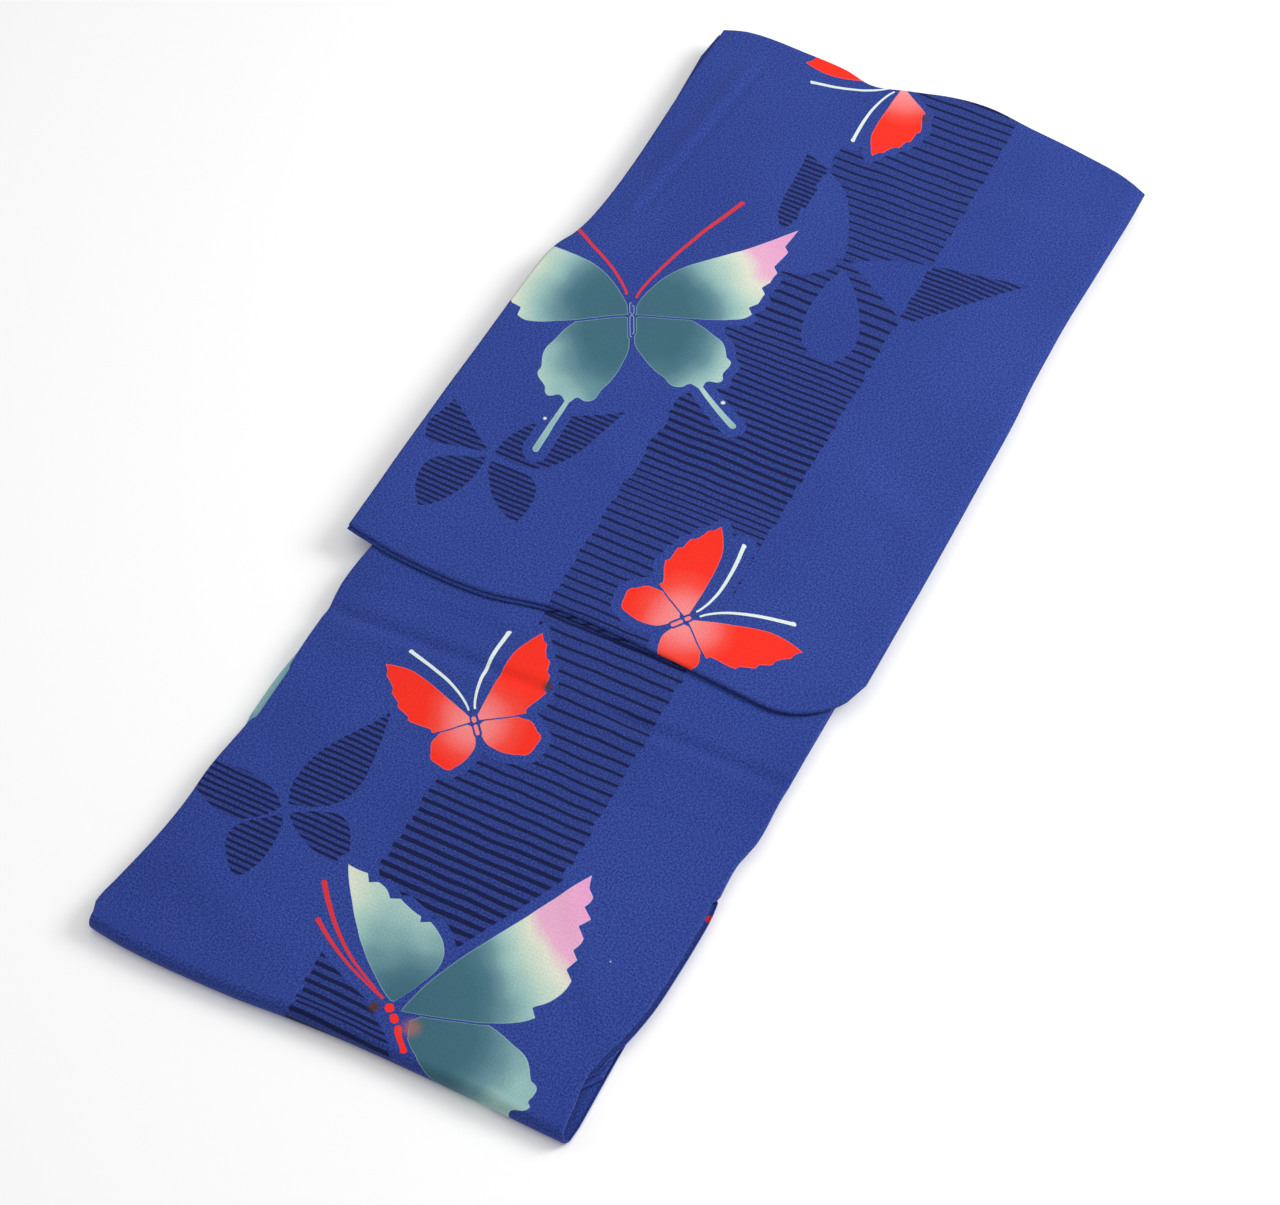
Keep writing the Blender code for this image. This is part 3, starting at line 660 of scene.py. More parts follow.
def body_panel(name, panel, hem_rows, over_rows, places, fold_steps):
    """One body panel, with the neck cut out where the collar takes over from the front."""
    first = INNER_FLAT_FROM_Y if panel.is_inner else FLAT_FROM_Y
    columns = turned_edge("left") + shared_columns(places) + turned_edge("right")
    rows = [Row("hem", y) for y in (panel.hem_y, *hem_rows) if y > first]
    rows += turn_rows("fold", fold_steps)
    rows += [Row("over", y) for y in over_rows if y > first]
    rows += turn_rows("shoulder", 6)
    rows += [Row("front", y) for y in FRONT_ROWS]

    def past_neck(row, column):
        beyond = column.side == "right" or (column.side == "middle" and column.x >= NECK_X)
        return beyond and row.run in ("shoulder", "front")

    def point(row, column):
        return panel_point(panel, row, column)

    return cloth_sheet(name, rows, columns, point, is_open=past_neck)


def places_across(to_x, step):
    """Places of the columns, with one of them at the neck's cut."""
    return span_of(COLUMNS_FROM_X, NECK_X, step) + span_of(NECK_X + step, to_x, step)


left_body = body_panel(
    "left_body_cloth",
    LEFT_PANEL,
    span_of(FIRST_HEM_ROW, FLAT_FROM_Y + 0.002, 0.012),
    span_of(FLAT_FROM_Y + 0.001, SHOWN_TO_Y, FINE_STEP)
    + span_of(COVERED_FROM_Y, LAST_OVER_ROW, COVERED_STEP),
    places_across(0.134, FINE_STEP),
    fold_steps=20,
)
right_body = body_panel(
    "right_body_cloth",
    RIGHT_PANEL,
    span_of(FIRST_HEM_ROW, INNER_FLAT_FROM_Y + 0.002, 0.016),
    span_of(INNER_FLAT_FROM_Y + 0.002, PEEK_FROM_Y - 0.001, 0.008)
    + span_of(PEEK_FROM_Y, PEEK_FROM_Y + SQUARE_END, 0.0005)
    + span_of(PEEK_FROM_Y + 0.004, LAST_OVER_ROW, 0.012),
    places_across(0.132, COARSE_STEP),
    fold_steps=10,
)

# %% [markdown]
# ## The sleeves
#
# A yukata sleeve is one length folded at the shoulder and sewn round its lower edge, with a
# rounded corner below the wrist. Its back ply peeks out two millimetres below the front ply near
# the armhole, which gives the double dark line there. The left sleeve is the whole upper part
# of the picture, so its front ply gets the finest rows.

# %% Sleeves
Sleeve = namedtuple("Sleeve", "lower upper inset shoulder_inset lower_extra")
LEFT_SLEEVE = Sleeve("left_sleeve_back", "left_sleeve_front", 0.0, 0.0, 0.0022)
RIGHT_SLEEVE = Sleeve("right_sleeve_front", "right_sleeve_back", 0.0050, 0.0060, 0.0010)
FREE_END = 0.12
LAST_FLAT_SHARE = 0.985
NEAR_ARMHOLE = (0.0, 0.0015, 0.0040, 0.0080)
NEAR_WRIST = (0.1515, 0.1545, 0.1570, 0.1592, 0.1612, 0.1630, 0.1646, 0.1660)
NEAR_INNER_WRIST = (0.1400, 0.1450, 0.1490, 0.1530, 0.1570, 0.1600, 0.1620)


def sleeve_x(side, y, inset):
    """A sleeve's armhole or wrist edge."""
    edge = curve(SLEEVE_EDGES, side, y)
    return edge + inset if side == "left" else edge - inset


def sleeve_end_y(x, inset):
    """A sleeve's lower edge, with the rounded corner below the wrist."""
    past = x - (SLEEVE_CORNER_X - inset)
    bow = curve(SLEEVE_END_BOW, "shift", min(x, SLEEVE_CORNER_X))
    if past <= 0.0:
        return SLEEVE_END_Y + bow + inset
    radius = SLEEVE_CORNER_RADIUS
    return SLEEVE_END_Y + bow + inset + radius - math.sqrt(max(radius**2 - past**2, 0.0))


def sleeve_point(sleeve, row, column):
    """A point of a sleeve, up the lower ply, over the shoulder and back down the upper ply."""
    share = row.at if row.run in ("lower", "upper") else 1.0
    y = SLEEVE_END_Y + share * (SHOULDER_Y - SLEEVE_END_Y)
    x = column.x
    if column.side != "middle":
        x = sleeve_x(column.side, y, sleeve.inset + column.inset)
    end_y = sleeve_end_y(x, sleeve.inset)
    if row.run == "lower":
        end_y -= sleeve.lower_extra * (1.0 - ease(LOWER_PLY_SHOWS_TO_X, LOWER_PLY_HIDDEN_FROM_X, x))
    shoulder_y = bowed(x, SHOULDER_Y) - sleeve.shoulder_inset
    ply = FOLD_PLY / 2
    y = end_y + share * (shoulder_y - ply - end_y)
    if row.run == "lower":
        return (x, y, height(sleeve.lower, x, y), 2.0 * shoulder_y - y)
    if row.run == "upper":
        return (x, y, height(sleeve.upper, x, y), y)
    z = (height(sleeve.lower, x, y) + height(sleeve.upper, x, y)) / 2
    along = shoulder_y - ply * row.at
    return (x, y + ply * math.cos(row.at), z + ply * math.sin(row.at), along)


def sleeve_sheet(name, sleeve, lower_step, upper_step, places):
    """One sleeve, open to the wrist and to the body."""
    columns = edge_columns("left", NEAR_ARMHOLE) + shared_columns(places)
    columns += edge_columns("right", (0.0,))
    rows = [Row("lower", share) for share in span_of(0.0, FREE_END, upper_step)]
    shares = span_of(FREE_END + lower_step, LAST_FLAT_SHARE, lower_step)
    rows += [Row("lower", share) for share in shares]
    rows += turn_rows("shoulder", 8)
    rows += [Row("upper", share) for share in span_of(LAST_FLAT_SHARE, 0.0, upper_step)]

    def point(row, column):
        return sleeve_point(sleeve, row, column)

    return cloth_sheet(name, rows, columns, point)


left_sleeve = sleeve_sheet(
    "left_sleeve_cloth", LEFT_SLEEVE, 0.022, 0.006, span_of(-0.140, 0.1485, 0.003) + list(NEAR_WRIST)
)
right_sleeve = sleeve_sheet(
    "right_sleeve_cloth", RIGHT_SLEEVE, 0.03, 0.03, span_of(-0.136, 0.1320, 0.008) + list(NEAR_INNER_WRIST)
)

# %% [markdown]
# ## The hidden layers
#
# The two fronts and the overlap panels lie inside, bent round the right body panel. In the
# solids they are one rounded block with a layered edge. Here they are three sheets, so that the
# open loop of the crosswise fold and the long edges show real layers. Each is set back from its
# neighbour by its own amount, as loose layers are.

# %% Hidden layers
INNER_TOP_Y = 0.338
INNER_HEM_Y = 0.386
INNER_RIGHT_X = 0.083
INNER_LEFT_INSET = 0.0028
INNER_LAST_ROW = 0.37
INNER_STEP = 0.014
INNER_END_GAP = 0.004
INNER_COLUMNS = 24
Layer = namedtuple("Layer", "name depth inset")
LAYERS = (
    Layer("left_front_cloth", 0.16, 0.0004),
    Layer("overlap_cloth", 0.50, 0.0024),
    Layer("right_front_cloth", 0.84, 0.0010),
)


def inner_point(layer, row, share):
    """A point of a hidden sheet, at a share of its width."""
    fraction = {"hem": 0.0, "fold": (1.0 + math.sin(row.at)) / 2}.get(row.run, 1.0)
    body_y = FOLD_Y if row.run == "fold" else row.at
    hem_left = curve(BODY_EDGES, "hem_left", body_y)
    left = hem_left + (curve(BODY_EDGES, "left", body_y) - hem_left) * fraction
    left += INNER_LEFT_INSET + layer.inset
    x = left + share * (INNER_RIGHT_X - layer.inset - left)
    turn_y = FOLD_Y + curve(FOLD_BOW, "shift", x) + curve(HOLLOW, "depth", x)
    if row.run == "hem":
        y = bowed(x, min(row.at, INNER_HEM_Y - layer.inset))
        z = height("inner_hem_half", x, y) - INNER_HEM_THICK * (0.5 - layer.depth)
        return (x, y, z, 2.0 * turn_y - y)
    if row.run == "over":
        y = bowed(x, min(row.at, INNER_TOP_Y - layer.inset))
        z = height("inner_shoulder_half", x, y) + INNER_SHOULDER_THICK * (0.5 - layer.depth)
        return (x, y, z, y)
    low = height("inner_hem_half", x, turn_y) + INNER_HEM_THICK * (layer.depth - 0.5)
    high = height("inner_shoulder_half", x, turn_y) - INNER_SHOULDER_THICK * (layer.depth - 0.5)
    radius = (high - low) / 2
    y = turn_y + INNER_TURN * layer.depth + radius * (1.0 - math.cos(row.at))
    return (x, y, low + radius * (1.0 + math.sin(row.at)), turn_y - radius * (math.pi / 2 - row.at))


def hidden_sheet(layer):
    """One hidden sheet, from its hem round the crosswise fold to its top end."""
    flat = span_of(INNER_FLAT_FROM_Y + INNER_END_GAP, INNER_LAST_ROW, INNER_STEP)
    below_top = [y for y in flat if y < INNER_TOP_Y - INNER_END_GAP]
    rows = [Row("hem", y) for y in (INNER_HEM_Y, *flat[::-1])]
    rows += turn_rows("fold", 12)
    rows += [Row("over", y) for y in (*below_top, INNER_TOP_Y)]
    # These sheets have slanting sides, so a column's x is a share of the width and no fixed place.
    columns = shared_columns(span_of(0.0, 1.0, 1.0 / INNER_COLUMNS))

    def point(row, column):
        return inner_point(layer, row, column.x)

    return cloth_sheet(layer.name, rows, columns, point)


hidden = [hidden_sheet(layer) for layer in LAYERS]

# %% [markdown]
# ## The collar
#
# At the back of the neck the collar lies flat between the two body panels, with the over-collar
# sewn round it. Only its end is near an edge, but it fills the upper right of the stack, so it
# is a sheet with a shorter sheet turned round it, as the real one is.

# %% Collar and over-collar
COLLAR_WIDTH = 0.055
COLLAR_THICK = 0.0012
COLLAR_LEFT_X = 0.074
COLLAR_RIGHT_X = 0.151
COLLAR_INSET = 0.0085
COLLAR_EDGE_INSET = 0.0010
COLLAR_FOLD_INSET = 0.0050
OVER_COLLAR_TURN_Y = 0.0040
COLLAR_GRID_STEP = 0.005
COLLAR_STEP = CLOTH + GAP
COLLAR_TOP = COLLAR_STEP + CLOTH + COLLAR_THICK + 2 * GAP


def over_collar_point(row, column):
    """A point of the over-collar, which turns round the collar's edge."""
    x = column.x
    fold_y = bowed(x, SHOULDER_Y) - COLLAR_INSET
    base = height("right_shoulder_half", x, fold_y)
    radius = (COLLAR_TOP - COLLAR_STEP) / 2
    if row.run == "turn":
        y = fold_y - radius * (1.0 - math.cos(row.at))
        return (x, y, base + COLLAR_STEP + radius * (1.0 + math.sin(row.at)), fold_y + radius * row.at)
    side = -1.0 if row.run == "lower" else 1.0
    z = base + (COLLAR_STEP if row.run == "lower" else COLLAR_TOP)
    return (x, fold_y - row.at, z, fold_y + side * (row.at + radius))


def collar_point(row, column):
    """A point of the collar, inside the over-collar."""
    fold_y = bowed(column.x, SHOULDER_Y) - COLLAR_INSET
    base = height("right_shoulder_half", column.x, fold_y)
    y = fold_y - row.at
    return (column.x, y, base + (COLLAR_STEP + COLLAR_TOP) / 2, y)


collar_columns = shared_columns(span_of(COLLAR_LEFT_X, COLLAR_RIGHT_X, COLLAR_GRID_STEP))
depths = span_of(COLLAR_WIDTH, OVER_COLLAR_TURN_Y, COLLAR_GRID_STEP)
collar_rows = [Row("lower", depth) for depth in depths] + turn_rows("turn", 12)
collar_rows += [Row("upper", depth) for depth in depths[::-1]]
over_collar = cloth_sheet("over_collar_cloth", collar_rows, collar_columns, over_collar_point)
depths = span_of(COLLAR_WIDTH - COLLAR_EDGE_INSET, COLLAR_FOLD_INSET, COLLAR_GRID_STEP)
collar_rows = [Row("flat", depth) for depth in depths]
collar = cloth_sheet("collar_cloth", collar_rows, collar_columns, collar_point)

# %% [markdown]
# ## Small helpers for nodes
#
# A print is a formula: for each place on the cloth, which dye is there. Blender's nodes can hold
# such a formula, but written out they are long, so a few helpers keep them short. calc makes one
# Math node, vector_calc one Vector Math node, mapped one Mapping node, and drawn one Float Curve
# through a few listed points, which is how each wing gets its outline.

# %% Node helpers
def feed(tree, socket, value):
    """Joins a node's output to a socket, or sets the socket to a plain value."""
    if isinstance(value, bpy.types.NodeSocket):
        tree.links.new(value, socket)
    else:
        socket.default_value = value


def add(tree, kind, values=(), **settings):
    """Adds a node, makes its settings and feeds its inputs by name or number."""
    made = tree.nodes.new(kind)
    for name, value in settings.items():
        setattr(made, name, value)
    for key, value in dict(values).items():
        feed(tree, made.inputs[key], value)
    return made


def calc(tree, operation, *values, clamp=False):
    """One Math node, of numbers and the outputs of other nodes."""
    made = tree.nodes.new("ShaderNodeMath")
    made.operation = operation
    made.use_clamp = clamp
    for socket, value in zip(made.inputs, values):
        feed(tree, socket, value)
    return made.outputs[0]


def chained(tree, operation, values):
    """The same Math node over a whole list, such as the least of many distances."""
    result = values[0]
    for value in values[1:]:
        result = calc(tree, operation, result, value)
    return result


def vector_calc(tree, operation, *values):
    """One Vector Math node. A length or a distance is a number, and the rest are vectors."""
    made = tree.nodes.new("ShaderNodeVectorMath")
    made.operation = operation
    sockets = (made.inputs[0], made.inputs["Scale"]) if operation == "SCALE" else made.inputs
    for socket, value in zip(sockets, values):
        feed(tree, socket, value)
    return made.outputs["Value" if operation in ("LENGTH", "DISTANCE") else "Vector"]


def length_of(tree, x, y):
    """The length of a vector in the plane."""
    joined = add(tree, "ShaderNodeCombineXYZ", {"X": x, "Y": y})
    return vector_calc(tree, "LENGTH", joined.outputs[0])


def noise(tree, vector, scale, detail):
    """A noise texture over the cut."""
    inputs = {"Vector": vector, "Scale": scale, "Detail": detail}
    return add(tree, "ShaderNodeTexNoise", inputs, noise_dimensions="2D")


def mapped(tree, vector, place, turn, size):
    """Coordinates that start at a place, are turned by an angle and count in a given size."""
    inputs = {"Vector": vector, "Location": place, "Rotation": turn, "Scale": size}
    made = add(tree, "ShaderNodeMapping", inputs, vector_type="TEXTURE")
    split = add(tree, "ShaderNodeSeparateXYZ", {0: made.outputs[0]})
    return made.outputs[0], split.outputs["X"], split.outputs["Y"]


def turned(tree, vector, x, y, degrees, size=(1.0, 1.0, 1.0)):
    """The x and y of coordinates that start at a fixed place and are turned by some degrees."""
    return mapped(tree, vector, (x, y, 0.0), (0.0, 0.0, math.radians(degrees)), size)[1:]


def drawn(tree, at, points):
    """A curve through given points. Each is x, y and whether it is a corner."""
    made = tree.nodes.new("ShaderNodeFloatCurve")
    bends = made.mapping.curves[0].points
    bends[0].location = points[0][:2]
    bends[1].location = points[-1][:2]
    for x, y, is_corner in points[1:-1]:
        bends.new(x, y).handle_type = "VECTOR" if is_corner else "AUTO"
    made.mapping.update()
    feed(tree, made.inputs["Value"], at)
    return made.outputs[0]


def blend(tree, share, low, high):
    """A blend of two numbers."""
    made = tree.nodes.new("ShaderNodeMix")
    made.data_type = "FLOAT"
    feed(tree, made.inputs[0], share)
    feed(tree, made.inputs[2], low)
    feed(tree, made.inputs[3], high)
    return made.outputs[0]


def soft_step(tree, value, low, high, reverse=False):
    """0 below low and 1 above high, with a smooth rise, or the other way round."""
    made = add(tree, "ShaderNodeMapRange", {"Value": value}, interpolation_type="SMOOTHSTEP")
    made.inputs["From Min"].default_value = low
    made.inputs["From Max"].default_value = high
    made.inputs["To Min"].default_value = 1.0 if reverse else 0.0
    made.inputs["To Max"].default_value = 0.0 if reverse else 1.0
    return made.outputs["Result"]


def mix(tree, share, low, high):
    """A blend of two colours."""
    made = tree.nodes.new("ShaderNodeMix")
    made.data_type = "RGBA"
    feed(tree, made.inputs[0], share)
    feed(tree, made.inputs[6], low)
    feed(tree, made.inputs[7], high)
    return made.outputs[2]


print("helpers ready")

# %% [markdown]
# ## Drawing a butterfly
#
# The print has butterflies of three kinds: small red ones, a large swallowtail, and one seen
# from the side. They are ordinary motifs, and these are drawn anew with a few points a wing. A
# pointed wing is a line from its root to its tip, with a leading edge above the line and a
# toothed trailing edge below it. A round wing is a circle whose radius changes with direction.
# Both give a distance to the outline, below zero inside, so the same number colours the wing,
# draws its thin rim and keeps the dark lines away from it. All lengths are in centimetres of
# the motif at its usual size.

# %% Wing outlines
Edge = namedtuple("Edge", "along lead trail")
Tooth = namedtuple("Tooth", "along trail")
Petal = namedtuple("Petal", "turn radius")
Wing = namedtuple("Wing", "x y turn length side outline")
ROOT = Edge(0.00, 0.000, 0.000)
TIP = Edge(1.00, 0.000, 0.000)

SMALL_FOREWING = (
    Edge(0.08, 0.014, 0.100),
    Edge(0.18, 0.032, 0.222),
    Tooth(0.270, 0.322),
    Tooth(0.295, 0.298),
    Edge(0.36, 0.058, 0.312),
    Edge(0.44, 0.070, 0.334),
    Tooth(0.525, 0.346),
    Tooth(0.545, 0.312),
    Edge(0.62, 0.090, 0.300),
    Tooth(0.680, 0.288),
    Tooth(0.698, 0.246),
    Edge(0.75, 0.088, 0.228),
    Tooth(0.800, 0.208),
    Tooth(0.816, 0.160),
    Edge(0.88, 0.052, 0.116),
    Tooth(0.930, 0.092),
    Tooth(0.944, 0.046),
)
SMALL_HINDWING = (
    Petal(0.00, 1.12),
    Petal(0.12, 0.84),
    Petal(0.25, 0.68),
    Petal(0.36, 0.76),
    Petal(0.43, 0.94),
    Petal(0.50, 0.93),
    Petal(0.55, 1.00),
    Petal(0.60, 0.88),
    Petal(0.66, 0.86),
    Petal(0.75, 0.76),
    Petal(0.88, 0.92),
    Petal(1.00, 1.12),
)
LONG_FOREWING = (
    Edge(0.06, 0.046, 0.050),
    Edge(0.18, 0.098, 0.152),
    Edge(0.30, 0.120, 0.248),
    Edge(0.38, 0.116, 0.302),
    Edge(0.44, 0.106, 0.330),
    Tooth(0.485, 0.330),
    Tooth(0.495, 0.284),
    Tooth(0.550, 0.290),
    Edge(0.59, 0.070, 0.268),
    Tooth(0.615, 0.256),
    Tooth(0.625, 0.214),
    Tooth(0.680, 0.210),
    Edge(0.71, 0.040, 0.190),
    Tooth(0.745, 0.176),
    Tooth(0.755, 0.132),
    Edge(0.82, 0.022, 0.110),
    Tooth(0.870, 0.092),
    Tooth(0.880, 0.052),
    Edge(0.94, 0.008, 0.026),
)
LONG_HINDWING = (
    Petal(0.00, 0.96),
    Petal(0.10, 0.70),
    Petal(0.20, 0.58),
    Petal(0.30, 0.62),
    Petal(0.38, 0.80),
    Petal(0.41, 0.76),
    Petal(0.44, 0.90),
    Petal(0.465, 0.84),
    Petal(0.50, 0.98),
    Petal(0.525, 0.90),
    Petal(0.565, 0.92),
    Petal(0.585, 0.82),
    Petal(0.64, 0.76),
    Petal(0.74, 0.63),
    Petal(0.88, 0.76),
    Petal(1.00, 0.98),
)
BROAD_FOREWING = (
    Edge(0.06, 0.016, 0.076),
    Edge(0.14, 0.030, 0.170),
    Edge(0.24, 0.038, 0.276),
    Edge(0.34, 0.038, 0.350),
    Tooth(0.400, 0.372),
    Tooth(0.420, 0.328),
    Edge(0.50, 0.030, 0.352),
    Edge(0.57, 0.024, 0.350),
    Tooth(0.620, 0.334),
    Tooth(0.638, 0.278),
    Tooth(0.700, 0.274),
    Tooth(0.716, 0.226),
    Edge(0.76, 0.012, 0.222),
    Tooth(0.782, 0.212),
    Tooth(0.800, 0.152),
    Tooth(0.862, 0.160),
    Tooth(0.876, 0.096),
    Edge(0.91, 0.006, 0.094),
    Tooth(0.935, 0.084),
    Tooth(0.950, 0.040),
)
NARROW_FOREWING = (
    Edge(0.07, 0.026, 0.196),
    Edge(0.16, 0.046, 0.342),
    Edge(0.27, 0.060, 0.394),
    Edge(0.38, 0.066, 0.388),
    Tooth(0.455, 0.366),
    Tooth(0.475, 0.304),
    Tooth(0.510, 0.322),
    Edge(0.58, 0.064, 0.278),
    Tooth(0.670, 0.236),
    Tooth(0.690, 0.176),
    Edge(0.76, 0.048, 0.172),
    Tooth(0.820, 0.142),
    Tooth(0.836, 0.084),
    Tooth(0.900, 0.094),
    Edge(0.93, 0.020, 0.060),
)
LEAF = (
    Edge(0.10, 0.080, 0.150),
    Edge(0.25, 0.130, 0.255),
    Edge(0.42, 0.142, 0.258),
    Edge(0.58, 0.115, 0.208),
    Edge(0.74, 0.070, 0.136),
    Edge(0.88, 0.028, 0.064),
)
SAIL = (
    Edge(0.10, 0.030, 0.110),
    Edge(0.22, 0.050, 0.250),
    Edge(0.36, 0.052, 0.372),
    Edge(0.48, 0.046, 0.322),
    Edge(0.68, 0.026, 0.198),
    Edge(0.86, 0.010, 0.086),
)
EGG = (
    Edge(0.12, 0.070, 0.080),
    Edge(0.30, 0.146, 0.160),
    Edge(0.52, 0.200, 0.222),
    Edge(0.72, 0.214, 0.232),
    Edge(0.86, 0.172, 0.190),
    Edge(0.95, 0.100, 0.110),
)
HALF_EGG = (
    Edge(0.10, 0.060, 0.110),
    Edge(0.28, 0.116, 0.290),
    Edge(0.48, 0.150, 0.396),
    Edge(0.68, 0.146, 0.350),
    Edge(0.84, 0.108, 0.220),
    Edge(0.95, 0.056, 0.090),
)
FAN = (
    Edge(0.20, 0.090, 0.090),
    Edge(0.50, 0.230, 0.230),
    Edge(0.80, 0.350, 0.370),
    Tooth(0.960, 0.430),
    Edge(0.97, 0.160, 0.200),
)
BROAD_LEAF = (
    Edge(0.10, 0.050, 0.140),
    Edge(0.24, 0.096, 0.284),
    Edge(0.45, 0.150, 0.336),
    Edge(0.62, 0.158, 0.262),
    Edge(0.78, 0.115, 0.145),
    Edge(0.90, 0.055, 0.060),
)


def drawn_row(row, name):
    """A point of an outline, and whether the outline has a corner there."""
    at, height_there = row[0], getattr(row, name)
    return at, height_there, isinstance(row, Tooth)


def on_wing(tree, vector, wing):
    """How far along and across a wing a place is, counted in the wing's length."""
    size = (wing.length, wing.length * wing.side, 1.0)
    return turned(tree, vector, wing.x, wing.y, wing.turn, size)


def pointed_wing(tree, vector, wing):
    """The distance to the outline of a wing with a root, a tip and two edges."""
    along, across_wing = on_wing(tree, vector, wing)
    outline = (ROOT, *wing.outline, TIP)
    leading = [drawn_row(row, "lead") for row in outline if isinstance(row, Edge)]
    lead = drawn(tree, along, leading)
    trail = drawn(tree, along, [drawn_row(row, "trail") for row in outline])
    above = calc(tree, "SUBTRACT", across_wing, lead)
    below = calc(tree, "SUBTRACT", calc(tree, "MULTIPLY", across_wing, -1.0), trail)
    ends = calc(tree, "SUBTRACT", calc(tree, "ABSOLUTE", calc(tree, "SUBTRACT", along, 0.5)), 0.5)
    return calc(tree, "MULTIPLY", chained(tree, "MAXIMUM", [above, below, ends]), wing.length)


def round_wing(tree, vector, wing):
    """The distance to the outline of a wing whose radius changes with direction."""
    along, across_wing = on_wing(tree, vector, wing)
    angle = calc(tree, "ARCTAN2", across_wing, along)
    direction = calc(tree, "MULTIPLY_ADD", angle, 0.5 / math.pi, 0.5)
    radius = drawn(tree, direction, [(petal.turn, petal.radius, False) for petal in wing.outline])
    past = calc(tree, "SUBTRACT", length_of(tree, along, across_wing), radius)
    return calc(tree, "MULTIPLY", past, wing.length)


def rod(tree, x, y, centre_x, low, high, thick, flare=0.0):
    """The distance to a rod along y with round ends, which may grow thicker upwards."""
    off_x = calc(tree, "SUBTRACT", x, centre_x)
    past = calc(tree, "ABSOLUTE", calc(tree, "SUBTRACT", y, (low + high) / 2))
    past = calc(tree, "MAXIMUM", calc(tree, "SUBTRACT", past, (high - low) / 2), 0.0)
    reach = length_of(tree, off_x, past)
    if flare:
        thicker = calc(tree, "MULTIPLY", calc(tree, "SUBTRACT", y, low), flare)
        reach = calc(tree, "SUBTRACT", reach, calc(tree, "MAXIMUM", thicker, 0.0))
    return calc(tree, "SUBTRACT", reach, thick)


def feeler(tree, x, y, start, end, bend, thick, flare, bow=0.0):
    """The distance to a curved feeler from start to end, each an (x, y) of the motif."""
    share = calc(tree, "DIVIDE", calc(tree, "SUBTRACT", y, start[1]), end[1] - start[1], clamp=True)
    curved = calc(tree, "POWER", share, bend)
    middle = calc(tree, "MULTIPLY_ADD", curved, end[0] - start[0], start[0])
    if bow:
        arch = calc(tree, "MULTIPLY", share, calc(tree, "SUBTRACT", 1.0, share))
        middle = calc(tree, "MULTIPLY_ADD", arch, 4.0 * bow, middle)
    lean = math.cos(math.atan2(abs(end[0] - start[0]) * bend, end[1] - start[1]) * 0.8)
    off_x = calc(tree, "MULTIPLY", calc(tree, "SUBTRACT", x, middle), lean)
    return rod(tree, off_x, y, 0.0, start[1], end[1], thick, flare)


def apart(tree, shape, other, gap):
    """A shape cut back so that it stays a gap away from another."""
    return calc(tree, "MAXIMUM", shape, calc(tree, "SUBTRACT", gap, other))


print("the small forewing has", len(SMALL_FOREWING), "points between root and tip")

# %% [markdown]
# ## Motifs as node groups
#
# Each kind of butterfly is a node group, made once and used wherever the print has one. It takes
# a place on the cloth, a turn and a size. A mirrored butterfly folds the left half on the right
# with the greater of x and minus x, so two wings do for four. A stretch and a height for the
# left half make it a little unequal, as hand-cut stencils are. Undyed cobalt stays between the
# wings and round the body, 1.5 mm wide, because each stencil piece needs a bridge. The group gives
# the distance to the wings, to the feelers and to the body, and how far out a place is, which
# sets the fade of the dye.

# %% Node groups for the motifs
CENTIMETRE = 0.01
MOTIF_OUTPUTS = ("Wings", "Feelers", "Body", "Reach")
BRIDGE = 0.16
BODY_BRIDGE = 0.15


def motif_group(name, draw, is_mirrored=True):
    """A node group for one kind of butterfly. draw adds its shapes to the group's tree."""
    tree = bpy.data.node_groups.new(name, "ShaderNodeTree")
    for label in ("Cut", "Place", "Turn"):
        tree.interface.new_socket(label, in_out="INPUT", socket_type="NodeSocketVector")
    for label in ("Size", "Left", "Left height"):
        tree.interface.new_socket(label, in_out="INPUT", socket_type="NodeSocketFloat")
    for label in MOTIF_OUTPUTS:
        tree.interface.new_socket(label, in_out="OUTPUT", socket_type="NodeSocketFloat")
    given = tree.nodes.new("NodeGroupInput")
    result = tree.nodes.new("NodeGroupOutput")
    unit = calc(tree, "MULTIPLY", given.outputs["Size"], CENTIMETRE)
    units = add(tree, "ShaderNodeCombineXYZ", {"X": unit, "Y": unit, "Z": 1.0}).outputs[0]
    local, x, y = mapped(tree, given.outputs["Cut"], given.outputs["Place"], given.outputs["Turn"], units)
    if is_mirrored:
        on_left = calc(tree, "LESS_THAN", x, 0.0)
        y = calc(tree, "DIVIDE", y, blend(tree, on_left, 1.0, given.outputs["Left height"]))
        left = calc(tree, "MULTIPLY", x, calc(tree, "MULTIPLY", given.outputs["Left"], -1.0))
        x = calc(tree, "MAXIMUM", x, left)
        local = add(tree, "ShaderNodeCombineXYZ", {"X": x, "Y": y}).outputs[0]
    wings, feelers, body, reach = draw(tree, local, x, y)
    for label, value in zip(MOTIF_OUTPUTS, (wings, feelers, body)):
        tree.links.new(calc(tree, "MULTIPLY", value, unit), result.inputs[label])
    tree.links.new(reach, result.inputs["Reach"])
    return tree


